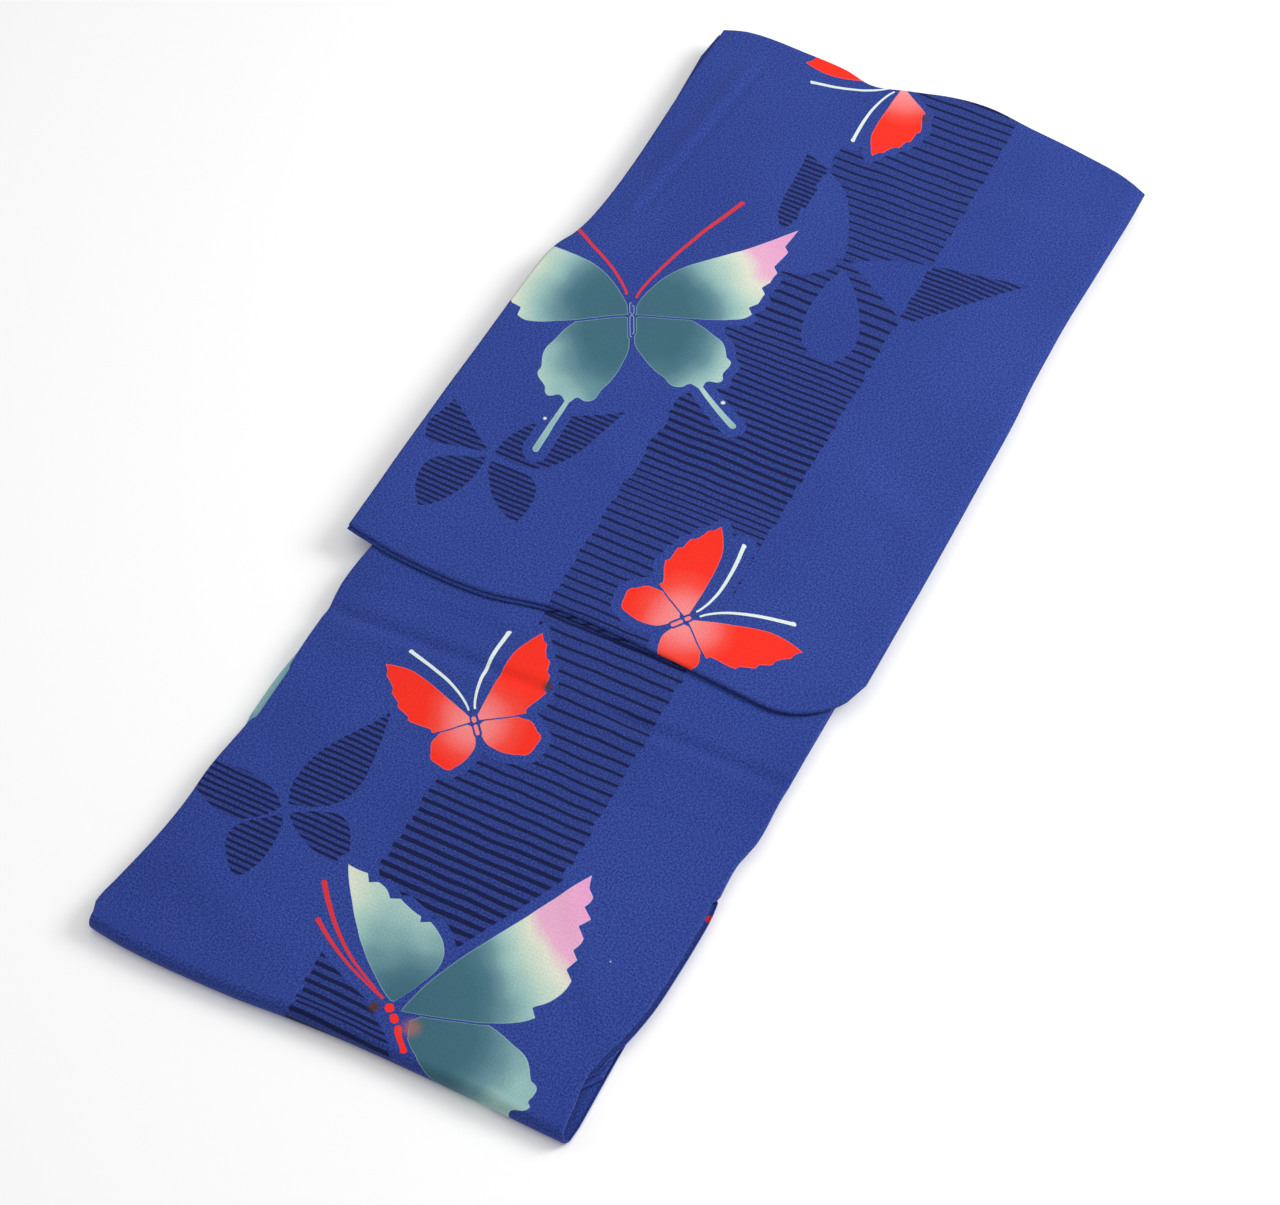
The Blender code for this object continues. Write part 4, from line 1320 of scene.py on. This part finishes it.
def draw_small(tree, local, x, y, has_hindwings=True):
    """A small butterfly with toothed forewings and, unless they are tucked away, round hindwings."""
    head = rod(tree, x, y, 0.0, 0.10, 0.26, 0.15)
    tail = rod(tree, x, y, 0.0, -0.84, -0.32, 0.14)
    body = calc(tree, "MINIMUM", head, tail)
    fore = pointed_wing(tree, local, Wing(0.04, 0.10, 45.0, 7.5, 1, SMALL_FOREWING))
    wings = fore
    if has_hindwings:
        hind = round_wing(tree, local, Wing(1.92, -1.50, -36.0, 1.84, 1, SMALL_HINDWING))
        wings = calc(tree, "MINIMUM", fore, apart(tree, hind, fore, BRIDGE))
    wings = apart(tree, wings, body, BODY_BRIDGE)
    wings = calc(tree, "MAXIMUM", wings, calc(tree, "SUBTRACT", 0.07, x))
    feelers = feeler(tree, x, y, (0.22, 0.95), (3.30, 5.90), 1.55, 0.055, 0.020)
    return wings, feelers, body, length_of(tree, x, y)


def draw_forewings(tree, local, x, y):
    """A small butterfly with its hindwings tucked away."""
    return draw_small(tree, local, x, y, has_hindwings=False)


def draw_swallowtail(tree, local, x, y):
    """A large butterfly with long forewings and a tail on each hindwing."""
    chest = rod(tree, x, y, 0.0, 0.45, 0.95, 0.14)
    trunk = rod(tree, x, y, 0.0, -1.30, 0.05, 0.13)
    trunk = calc(tree, "MINIMUM", chest, trunk)
    fore = pointed_wing(tree, local, Wing(0.10, 0.25, 34.0, 13.5, 1, LONG_FOREWING))
    hind = round_wing(tree, local, Wing(3.02, -2.80, -44.0, 4.05, 1, LONG_HINDWING))
    hind = apart(tree, hind, fore, BRIDGE)
    tail_x, tail_y = turned(tree, local, 3.90, -5.15, -148.0)
    tail = rod(tree, tail_x, tail_y, 0.0, 0.0, 4.9, 0.13, 0.020)
    wings = chained(tree, "MINIMUM", [fore, hind, tail])
    wings = apart(tree, wings, trunk, BODY_BRIDGE)
    wings = calc(tree, "MAXIMUM", wings, calc(tree, "SUBTRACT", 0.16, x))
    feelers = feeler(tree, x, y, (0.35, 1.75), (7.50, 10.20), 1.28, 0.070, 0.012)
    outline = calc(tree, "SUBTRACT", calc(tree, "ABSOLUTE", trunk), 0.030)
    shortened = calc(tree, "MAXIMUM", y, calc(tree, "MULTIPLY", y, -0.80))
    out = calc(tree, "MULTIPLY_ADD", length_of(tree, x, shortened), 1.03, 0.7)
    on_hind = calc(tree, "LESS_THAN", y, -1.5)
    return wings, feelers, outline, blend(tree, on_hind, out, calc(tree, "MINIMUM", out, 8.0))


def draw_side_on(tree, local, x, y):
    """A large butterfly from the side: two forewings, one hindwing, both feelers together."""
    near = pointed_wing(tree, local, Wing(0.50, -0.32, 21.5, 14.1, 1, BROAD_FOREWING))
    far = pointed_wing(tree, local, Wing(0.18, 0.35, 90.0, 9.7, 1, NARROW_FOREWING))
    hind = round_wing(tree, local, Wing(3.00, -5.00, -60.0, 4.60, 1, LONG_HINDWING))
    far = apart(tree, far, near, BRIDGE)
    hind = apart(tree, hind, near, BRIDGE)
    head = rod(tree, x, y, -0.05, 0.05, 0.10, 0.27)
    chest = rod(tree, x, y, 0.02, -0.74, -0.60, 0.25)
    tail_x, tail_y = turned(tree, local, 0.10, -1.15, -15.0)
    tail = rod(tree, tail_x, tail_y, 0.0, -2.15, -0.20, 0.21)
    body = chained(tree, "MINIMUM", [head, chest, tail])
    wings = apart(tree, chained(tree, "MINIMUM", [near, far, hind]), body, BODY_BRIDGE)
    upper = feeler(tree, x, y, (-0.24, 0.80), (-1.50, 9.30), 1.0, 0.06, 0.012, -0.62)
    lower = feeler(tree, x, y, (-0.30, 0.80), (-2.50, 7.00), 1.0, 0.05, 0.014, -0.30)
    out = length_of(tree, x, y)
    on_far = calc(tree, "LESS_THAN", calc(tree, "SUBTRACT", far, near), 0.0)
    on_hind = calc(tree, "LESS_THAN", calc(tree, "SUBTRACT", hind, near), 0.0)
    far_out = calc(tree, "MINIMUM", calc(tree, "MULTIPLY_ADD", out, 0.75, 3.6), 9.1)
    hind_out = calc(tree, "MINIMUM", out, 8.8)
    reach = blend(tree, on_far, blend(tree, on_hind, out, hind_out), far_out)
    return wings, calc(tree, "MINIMUM", upper, lower), body, reach


def draw_shadow(shadow_wings):
    """A butterfly's shadow, four plain wings that only the fine lines show."""

    def draw(tree, local, x, y):
        wings = chained(tree, "MINIMUM", [pointed_wing(tree, local, wing) for wing in shadow_wings])
        return wings, wings, wings, x

    return draw


SHADOWS = {
    "shadow, left of sleeve": (
        Wing(0.3, 0.3, 49.0, 9.0, 1, LEAF),
        Wing(-0.1, 0.2, 169.0, 4.7, 1, FAN),
        Wing(-0.1, -0.3, 250.0, 5.7, 1, HALF_EGG),
        Wing(0.4, -0.4, -43.0, 5.2, -1, HALF_EGG),
    ),
    "shadow, across the band": (
        Wing(0.3, 0.3, 18.0, 12.0, 1, SAIL),
        Wing(-0.2, 0.3, 129.0, 10.2, -1, BROAD_LEAF),
        Wing(0.2, -0.4, -74.0, 8.4, 1, EGG),
        Wing(-0.4, -0.2, 205.0, 6.5, 1, LEAF),
    ),
    "shadow, left of body": (
        Wing(0.0, 0.3, 76.0, 8.8, 1, LEAF),
        Wing(-0.3, -0.1, 177.0, 8.0, -1, LEAF),
        Wing(0.0, -0.5, 266.0, 5.0, 1, HALF_EGG),
        Wing(0.3, -0.2, -18.0, 5.0, -1, HALF_EGG),
    ),
}
GROUPS = {
    "small": motif_group("small butterfly", draw_small),
    "forewings": motif_group("small butterfly, hindwings tucked away", draw_forewings),
    "swallowtail": motif_group("swallowtail", draw_swallowtail),
    "side": motif_group("butterfly from the side", draw_side_on, is_mirrored=False),
}
for kind, shadow_wings in SHADOWS.items():
    GROUPS[kind] = motif_group(kind, draw_shadow(shadow_wings), is_mirrored=False)
print({name: len(group.nodes) for name, group in GROUPS.items()}, "nodes")

# %% [markdown]
# ## Where the motifs lie
#
# Places are in metres on each piece's cut: u from the bundle's middle line and v along the
# length, which on the top layers is simply y. The underside and the hidden parts have motifs of
# the same kinds, because the print runs on over the whole bolt.

# %% Places of the motifs
Motif = namedtuple("Motif", "kind dye u v turn size left left_height", defaults=(1.0, 1.0, 1.0))
SLEEVE_MOTIFS = (
    Motif("swallowtail", "teal", -0.0905, 0.1345, 27.0, 1.0, 1.05, 1.20),
    Motif("small", "red", 0.0512, -0.0707, -36.0),
    Motif("forewings", "red", -0.0172, 0.4118, 142.0, 0.95),
    Motif("shadow, left of sleeve", "line", -0.1200, -0.0109, 0.0),
    Motif("shadow, across the band", "line", 0.0156, 0.2413, 0.0),
    Motif("swallowtail", "teal", 0.0900, 0.6600, 160.0, 0.95),
    Motif("shadow, left of body", "line", -0.0900, 0.6800, 60.0, 1.10),
)
BODY_MOTIFS = (
    Motif("small", "red", -0.0302, -0.1936, 40.0, 1.0, 1.18),
    Motif("side", "teal", 0.0215, -0.3881, 45.0),
    Motif("shadow, left of body", "line", -0.1009, -0.2984, 0.0),
    Motif("swallowtail", "teal", -0.0700, -0.6280, 15.0),
    Motif("small", "red", 0.0820, -0.6350, -30.0),
    Motif("small", "red", -0.0200, -1.0400, 50.0),
    Motif("shadow, left of sleeve", "line", 0.0900, -0.8600, -20.0, 1.2),
)
print(len(SLEEVE_MOTIFS) + len(BODY_MOTIFS), "motifs")

# %% [markdown]
# ## The band of lines
#
# A band about ten centimetres wide runs the length of the cloth, made of dark lines across it.
# Their spacing and weight change slowly along the band, so a plain repeat would look printed by
# machine. A Float Curve counts the lines along the cloth instead, and a second one gives their
# weight. Each line gets its own random start and end. The band's lines stop short of the
# butterflies, and a shadow butterfly turns them over: plain inside the band, lined outside it.

# %% Tables of the band
Count = namedtuple("Count", "v lines weight")
SLEEVE_LINES = (
    Count(-0.950, -140.0, 0.28),
    Count(-0.160, -18.0, 0.24),
    Count(-0.110, -8.8, 0.24),
    Count(-0.049, 0.0, 0.26),
    Count(-0.012, 5.0, 0.27),
    Count(0.031, 13.0, 0.34),
    Count(0.071, 19.0, 0.42),
    Count(0.113, 26.0, 0.36),
    Count(0.164, 35.0, 0.32),
    Count(0.228, 43.0, 0.28),
    Count(0.275, 50.0, 0.25),
    Count(0.332, 58.0, 0.24),
    Count(0.391, 65.0, 0.26),
    Count(0.950, 141.0, 0.30),
)
BODY_LINES = (
    Count(-1.260, -118.0, 0.30),
    Count(-0.470, -9.8, 0.40),
    Count(-0.413, -1.5, 0.42),
    Count(-0.372, 5.0, 0.44),
    Count(-0.323, 12.0, 0.46),
    Count(-0.281, 18.0, 0.44),
    Count(-0.245, 23.0, 0.33),
    Count(-0.207, 28.0, 0.27),
    Count(-0.176, 32.0, 0.25),
    Count(-0.142, 36.0, 0.24),
    Count(-0.116, 39.0, 0.24),
    Count(0.420, 105.0, 0.30),
)
BAND_LEFT = -0.031
BAND_RIGHT = 0.069
LINES_IN_CURVE = 300.0
LINE_DRIFT = 0.32
LINE_SOFTNESS = 0.03
RAGGED_LEFT = 0.0030
RAGGED_RIGHT = 0.0024
SHADOW_PITCH = 0.0043
SHADOW_DRIFT = 0.45
SHADOW_LINE_FROM = 0.19
SHADOW_LINE_TO = 0.25
HALO = 0.0068
HALO_SOFTNESS = 0.0004

# %% [markdown]
# ## The dyes
#
# The ground is a strong cobalt and the lines are almost black navy. The wings are sprayed
# through stencils, so one dye fades into the next: red to salmon near the body, deep teal to
# mint, cream and pink at the tips. A colour ramp over the distance from the body does it, with
# some noise on that distance so that no two fades are alike.

# %% Dyes
COBALT = (0.0290, 0.0600, 0.305, 1.0)
COBALT_DEEP = (0.0185, 0.0430, 0.245, 1.0)
COBALT_IN_BAND = (0.0200, 0.0410, 0.218, 1.0)
NAVY = (0.0020, 0.0060, 0.062, 1.0)
RIM_TEAL = (0.42, 0.60, 0.66, 1.0)
RIM_RED = (0.95, 0.22, 0.20, 1.0)
FEELER_WHITE = (0.74, 0.83, 0.78, 1.0)
FEELER_RED = (0.70, 0.028, 0.040, 1.0)
BROWN = (0.085, 0.030, 0.016, 1.0)
ORANGE = (0.560, 0.150, 0.070, 1.0)
MINT = (0.300, 0.560, 0.600, 1.0)
BODY_DYES = {
    "small": (0.90, 0.22, 0.24, 1.0),
    "forewings": (0.90, 0.22, 0.24, 1.0),
    "swallowtail": (0.24, 0.36, 0.50, 1.0),
    "side": (0.90, 0.026, 0.020, 1.0),
}
Fade = namedtuple("Fade", "at colour")
TEAL_FADES = (
    Fade(0.00, (0.042, 0.130, 0.180, 1.0)),
    Fade(0.29, (0.046, 0.142, 0.188, 1.0)),
    Fade(0.37, (0.068, 0.180, 0.228, 1.0)),
    Fade(0.45, (0.140, 0.280, 0.320, 1.0)),
    Fade(0.53, (0.300, 0.500, 0.480, 1.0)),
    Fade(0.62, (0.510, 0.660, 0.560, 1.0)),
    Fade(0.69, (0.720, 0.740, 0.610, 1.0)),
    Fade(0.75, (0.800, 0.420, 0.600, 1.0)),
    Fade(1.00, (0.780, 0.330, 0.590, 1.0)),
)
RED_FADES = (
    Fade(0.00, (0.900, 0.290, 0.290, 1.0)),
    Fade(0.19, (0.900, 0.200, 0.200, 1.0)),
    Fade(0.34, (0.910, 0.060, 0.040, 1.0)),
    Fade(0.46, (0.920, 0.026, 0.011, 1.0)),
    Fade(1.00, (0.920, 0.024, 0.010, 1.0)),
)
TEAL_REACH = 15.0
RED_REACH = 8.0


def dye_fade(tree, at, fades):
    """A colour ramp through a dye's fades."""
    made = tree.nodes.new("ShaderNodeValToRGB")
    stops = made.color_ramp.elements
    stops[0].position, stops[0].color = fades[0].at, fades[0].colour
    stops[1].position, stops[1].color = fades[-1].at, fades[-1].colour
    for fade in fades[1:-1]:
        stops.new(fade.at).color = fade.colour
    feed(tree, made.inputs["Fac"], at)
    return made.outputs["Color"]


Dye = namedtuple("Dye", "name fades reach rim feelers")
DYES = (
    Dye("teal", TEAL_FADES, TEAL_REACH, RIM_TEAL, FEELER_RED),
    Dye("red", RED_FADES, RED_REACH, RIM_RED, FEELER_WHITE),
)
print({dye.name: len(dye.fades) for dye in DYES}, "fades")

# %% [markdown]
# ## Cotton
#
# Yukata cotton is a plain weave of slubby threads, about 25 to the centimetre, dull with a
# faint sheen at low angles. At this distance single threads are finer than a pixel. So the weave
# is bump, in two parts: a crossed ripple a few threads wide, which stands for them, and slubs
# that run along the weft, longer than they are wide. The dye takes unevenly, which shows as soft
# mottling and as fine flecks of a paler and a deeper blue.

# %% Cotton material
RIPPLE_SCALE = 125.0
SLUB_SCALE = (90.0, 900.0, 1.0)
RELIEF_STRENGTH = 0.28
RELIEF_HEIGHT = 0.0003
SLUB_ROUGHNESS = 0.14
LEAST_ROUGHNESS = 0.78
DRIFT_SCALE = 30.0
GRAIN_SCALE = 820.0
CLOUD_SCALE = 9.0
WANDER = 0.0014
FADE_DRIFT = 0.44
FLECKS = (2.8, 2.3, 0.9)
SPECKLE = 0.36
EDGE_SOFTNESS = 0.0002
WING_SOFTNESS = 0.00015
BODY_SOFTNESS = 0.0001
RIM_FROM = -0.0008
RIM_TO = -0.0002
RIM_SHARE = 0.34


def off_middle(tree, lines):
    """How far a place is from the middle of its line, where one line's share is 1."""
    return calc(tree, "ABSOLUTE", calc(tree, "SUBTRACT", calc(tree, "FRACT", lines), 0.5))


def band_lines(tree, u, v, table, jitter):
    """Where the band's dark lines are, and where the band is, both from 0 to 1."""
    first = table[0]
    length = table[-1].v - first.v
    share = calc(tree, "DIVIDE", calc(tree, "SUBTRACT", v, first.v), length, clamp=True)
    counts = []
    weights = []
    for row in table:
        at = (row.v - first.v) / length
        counts.append((at, (row.lines - first.lines) / LINES_IN_CURVE, False))
        weights.append((at, row.weight, False))
    lines = calc(tree, "MULTIPLY", drawn(tree, share, counts), LINES_IN_CURVE)
    lines = calc(tree, "ADD", lines, calc(tree, "MULTIPLY", jitter, LINE_DRIFT))
    half_weight = calc(tree, "MULTIPLY", drawn(tree, share, weights), 0.5)
    past = calc(tree, "SUBTRACT", off_middle(tree, lines), half_weight)
    line = soft_step(tree, past, -LINE_SOFTNESS, LINE_SOFTNESS, True)
    dice = add(tree, "ShaderNodeTexWhiteNoise", {"W": calc(tree, "FLOOR", lines)}, noise_dimensions="1D")
    throws = add(tree, "ShaderNodeSeparateColor", {0: dice.outputs["Color"]})
    left = calc(tree, "MULTIPLY_ADD", throws.outputs[0], RAGGED_LEFT, BAND_LEFT - RAGGED_LEFT / 2)
    right = calc(tree, "MULTIPLY_ADD", throws.outputs[1], RAGGED_RIGHT, BAND_RIGHT - RAGGED_RIGHT / 2)
    inside = calc(tree, "MINIMUM", calc(tree, "SUBTRACT", u, left), calc(tree, "SUBTRACT", right, u))
    return line, soft_step(tree, inside, -EDGE_SOFTNESS, EDGE_SOFTNESS)


def shadow_lines(tree, v, jitter):
    """The finer lines that show a shadow butterfly outside the band."""
    lines = calc(tree, "DIVIDE", v, SHADOW_PITCH)
    lines = calc(tree, "ADD", lines, calc(tree, "MULTIPLY", jitter, SHADOW_DRIFT))
    return soft_step(tree, off_middle(tree, lines), SHADOW_LINE_FROM, SHADOW_LINE_TO, True)


def place_motifs(tree, cut, motifs):
    """Adds each motif's group and returns them with their facts."""
    placed = []
    for motif in motifs:
        made = tree.nodes.new("ShaderNodeGroup")
        made.node_tree = GROUPS[motif.kind]
        feed(tree, made.inputs["Cut"], cut)
        made.inputs["Place"].default_value = (motif.u, motif.v, 0.0)
        made.inputs["Turn"].default_value = (0.0, 0.0, math.radians(motif.turn))
        made.inputs["Size"].default_value = motif.size
        made.inputs["Left"].default_value = motif.left
        made.inputs["Left height"].default_value = motif.left_height
        placed.append((motif, made))
    return placed


def least(tree, placed, dye, label):
    """The least of one output over the motifs of one dye."""
    return chained(tree, "MINIMUM", [made.outputs[label] for motif, made in placed if motif.dye == dye])


Spot = namedtuple("Spot", "u v reach share colour")
BODY_SPOTS = (
    Spot(-0.0025, -0.1510, 0.0055, 0.85, BROWN),
    Spot(0.0122, -0.3915, 0.0050, 1.20, BROWN),
    Spot(0.0378, -0.3940, 0.0090, 0.50, ORANGE),
    Spot(0.1190, -0.3030, 0.0008, 0.80, FEELER_WHITE),
    Spot(-0.1580, -0.6260, 0.0440, 2.40, MINT),
    Spot(-0.1580, -0.6800, 0.0300, 1.20, MINT),
)
SLEEVE_SPOTS = (
    Spot(0.0094, 0.3900, 0.0050, 0.80, BROWN),
    Spot(-0.1014, 0.0316, 0.0017, 1.60, FEELER_WHITE),
    Spot(-0.0042, 0.0961, 0.0021, 1.60, FEELER_WHITE),
)
UNDER_SPOTS = (
    Spot(0.1560, -0.2490, 0.0032, 2.00, FEELER_RED),
    Spot(-0.1560, -0.6000, 0.0460, 2.40, MINT),
)


def inside_of(tree, distance, softness):
    """1 inside an outline and 0 outside it, from the distance to it."""
    return soft_step(tree, distance, -softness, softness, True)


def hatching(tree, cut, lines, motifs):
    """Where the cloth is hatched, where the dark lines are, and the motifs placed on it."""
    split = add(tree, "ShaderNodeSeparateXYZ", {0: cut})
    v = split.outputs["Y"]
    drift = noise(tree, cut, DRIFT_SCALE, 2.0)
    jitter = calc(tree, "SUBTRACT", drift.outputs["Fac"], 0.5)
    line, band = band_lines(tree, split.outputs["X"], v, lines, jitter)
    if not motifs:
        return band, calc(tree, "MULTIPLY", band, line), []
    wander = vector_calc(tree, "SUBTRACT", drift.outputs["Color"], (0.5, 0.5, 0.5))
    moved = vector_calc(tree, "ADD", cut, vector_calc(tree, "SCALE", wander, WANDER))
    placed = place_motifs(tree, moved, motifs)
    shadow = inside_of(tree, least(tree, placed, "line", "Wings"), EDGE_SOFTNESS)
    outside = calc(tree, "MULTIPLY", shadow, calc(tree, "SUBTRACT", 1.0, band))
    inside = calc(tree, "MULTIPLY", band, calc(tree, "SUBTRACT", 1.0, shadow))
    hatched = calc(tree, "ADD", outside, inside, clamp=True)
    fine = calc(tree, "MULTIPLY", outside, shadow_lines(tree, v, jitter))
    stroke = calc(tree, "ADD", fine, calc(tree, "MULTIPLY", inside, line))
    dyed = [made for motif, made in placed if motif.dye != "line"]
    shapes = [made.outputs[label] for made in dyed for label in MOTIF_OUTPUTS[:3]]
    nearest = chained(tree, "MINIMUM", shapes)
    clear = soft_step(tree, nearest, HALO - HALO_SOFTNESS, HALO + HALO_SOFTNESS)
    return calc(tree, "MULTIPLY", hatched, clear), calc(tree, "MULTIPLY", stroke, clear), placed


def with_butterflies(tree, colour, placed, cloud):
    """A colour with the wings, feelers and bodies of the placed motifs over it."""
    blur = calc(tree, "MULTIPLY", calc(tree, "SUBTRACT", cloud, 0.5), FADE_DRIFT)
    for dye in DYES:
        wings = least(tree, placed, dye.name, "Wings")
        away = calc(tree, "DIVIDE", least(tree, placed, dye.name, "Reach"), dye.reach)
        fade = dye_fade(tree, calc(tree, "ADD", away, blur), dye.fades)
        rimmed = calc(tree, "MULTIPLY", soft_step(tree, wings, RIM_FROM, RIM_TO), RIM_SHARE)
        on_wings = inside_of(tree, wings, WING_SOFTNESS)
        colour = mix(tree, on_wings, colour, mix(tree, rimmed, fade, dye.rim))
        on_feeler = inside_of(tree, least(tree, placed, dye.name, "Feelers"), BODY_SOFTNESS)
        colour = mix(tree, on_feeler, colour, dye.feelers)
    for motif, made in placed:
        if motif.dye != "line":
            on_body = inside_of(tree, made.outputs["Body"], BODY_SOFTNESS)
            colour = mix(tree, on_body, colour, BODY_DYES[motif.kind])
    return colour


def with_spots(tree, colour, cut, spots):
    """A colour with small soft stains over it."""
    for spot in spots:
        away = vector_calc(tree, "DISTANCE", cut, (spot.u, spot.v, 0.0))
        stain = soft_step(tree, away, 0.0, spot.reach, True)
        colour = mix(tree, calc(tree, "MULTIPLY", stain, spot.share, clamp=True), colour, spot.colour)
    return colour


def weave(tree, cut, shader):
    """The relief of the threads and slubs, and the dull finish they give."""
    warp = add(tree, "ShaderNodeTexWave", {"Vector": cut, "Scale": RIPPLE_SCALE}, bands_direction="X")
    weft = add(tree, "ShaderNodeTexWave", {"Vector": cut, "Scale": RIPPLE_SCALE}, bands_direction="Y")
    stretched = add(tree, "ShaderNodeMapping", {"Vector": cut, "Scale": SLUB_SCALE}).outputs[0]
    slubs = noise(tree, stretched, 1.0, 2.0).outputs["Fac"]
    threads = calc(tree, "MULTIPLY", warp.outputs["Fac"], weft.outputs["Fac"])
    relief = calc(tree, "ADD", calc(tree, "MULTIPLY", threads, 0.5), slubs)
    inputs = {"Height": relief, "Strength": RELIEF_STRENGTH, "Distance": RELIEF_HEIGHT}
    bump = add(tree, "ShaderNodeBump", inputs)
    tree.links.new(bump.outputs["Normal"], shader.inputs["Normal"])
    rough = calc(tree, "MULTIPLY_ADD", slubs, SLUB_ROUGHNESS, LEAST_ROUGHNESS)
    tree.links.new(rough, shader.inputs["Roughness"])
    shader.inputs["Specular IOR Level"].default_value = 0.22
    shader.inputs["Sheen Weight"].default_value = 0.10
    shader.inputs["Sheen Roughness"].default_value = 0.45


def cotton(name, motifs=(), lines=None, spots=()):
    """Dyed cotton. motifs and lines are the print, which follows the piece's own cut."""
    made = bpy.data.materials.new(name)
    made.use_nodes = True
    tree = made.node_tree
    shader = tree.nodes["Principled BSDF"]
    cut = add(tree, "ShaderNodeUVMap", uv_map="cut").outputs[0]
    grain = noise(tree, cut, GRAIN_SCALE, 2.0).outputs["Fac"]
    cloud = noise(tree, cut, CLOUD_SCALE, 3.0).outputs["Fac"]
    colour = mix(tree, cloud, COBALT_DEEP, COBALT)
    placed = []
    if lines:
        hatched, stroke, placed = hatching(tree, cut, lines, motifs)
        colour = mix(tree, hatched, colour, COBALT_IN_BAND)
        colour = mix(tree, stroke, colour, NAVY)
    uneven = calc(tree, "SUBTRACT", grain, 0.5)
    flecked = vector_calc(tree, "MULTIPLY_ADD", uneven, FLECKS, (1.0, 1.0, 1.0))
    colour = vector_calc(tree, "MULTIPLY", colour, flecked)
    if placed:
        colour = with_butterflies(tree, colour, placed, cloud)
    colour = with_spots(tree, colour, cut, spots)
    speckle = calc(tree, "MULTIPLY_ADD", grain, SPECKLE, 1.0 - SPECKLE / 2)
    tree.links.new(vector_calc(tree, "SCALE", colour, speckle), shader.inputs["Base Color"])
    weave(tree, cut, shader)
    print(name, len(tree.nodes), "nodes")
    return made


sleeve_cotton = cotton("printed sleeve cotton", SLEEVE_MOTIFS, SLEEVE_LINES, SLEEVE_SPOTS)
body_cotton = cotton("printed body cotton", BODY_MOTIFS, BODY_LINES, BODY_SPOTS)
banded_cotton = cotton("banded cotton", lines=BODY_LINES, spots=UNDER_SPOTS)
plain_cotton = cotton("plain cobalt cotton")

# %% [markdown]
# ## Dressing the solids
#
# Each sheet takes the place of its solid and gets its cotton. The table also lists the width and
# length of its cut, as the maker would measure it flat, and what it lies on, which nothing here
# reads. The solids stay in the model for collisions only.

# %% Materials, replaced solids and cuts
Dress = namedtuple("Dress", "piece cotton node cut rests_on")
DRESSES = (
    Dress(left_sleeve, sleeve_cotton, "left_sleeve", (0.35, 1.03), "left_body_cloth"),
    Dress(left_body, body_cotton, "left_body_panel", (0.33, 1.68), "floor"),
    Dress(right_body, banded_cotton, "right_body_panel", (0.33, 1.60), "left_front_cloth"),
    Dress(right_sleeve, banded_cotton, "right_sleeve", (0.34, 1.00), "right_body_cloth"),
    Dress(hidden[0], plain_cotton, "folded_layers", (0.25, 1.52), "overlap_cloth"),
    Dress(hidden[1], plain_cotton, "folded_layers", (0.25, 1.52), "right_front_cloth"),
    Dress(hidden[2], plain_cotton, "folded_layers", (0.25, 1.52), "left_body_cloth"),
    Dress(collar, plain_cotton, "collar", (0.055, 0.08), "over_collar_cloth"),
    Dress(over_collar, plain_cotton, "over_collar", (0.08, 0.12), "right_body_cloth"),
)
for dress in DRESSES:
    dress.piece.data.materials.append(dress.cotton)
    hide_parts(dress.node)
print(len(DRESSES), "sheets")
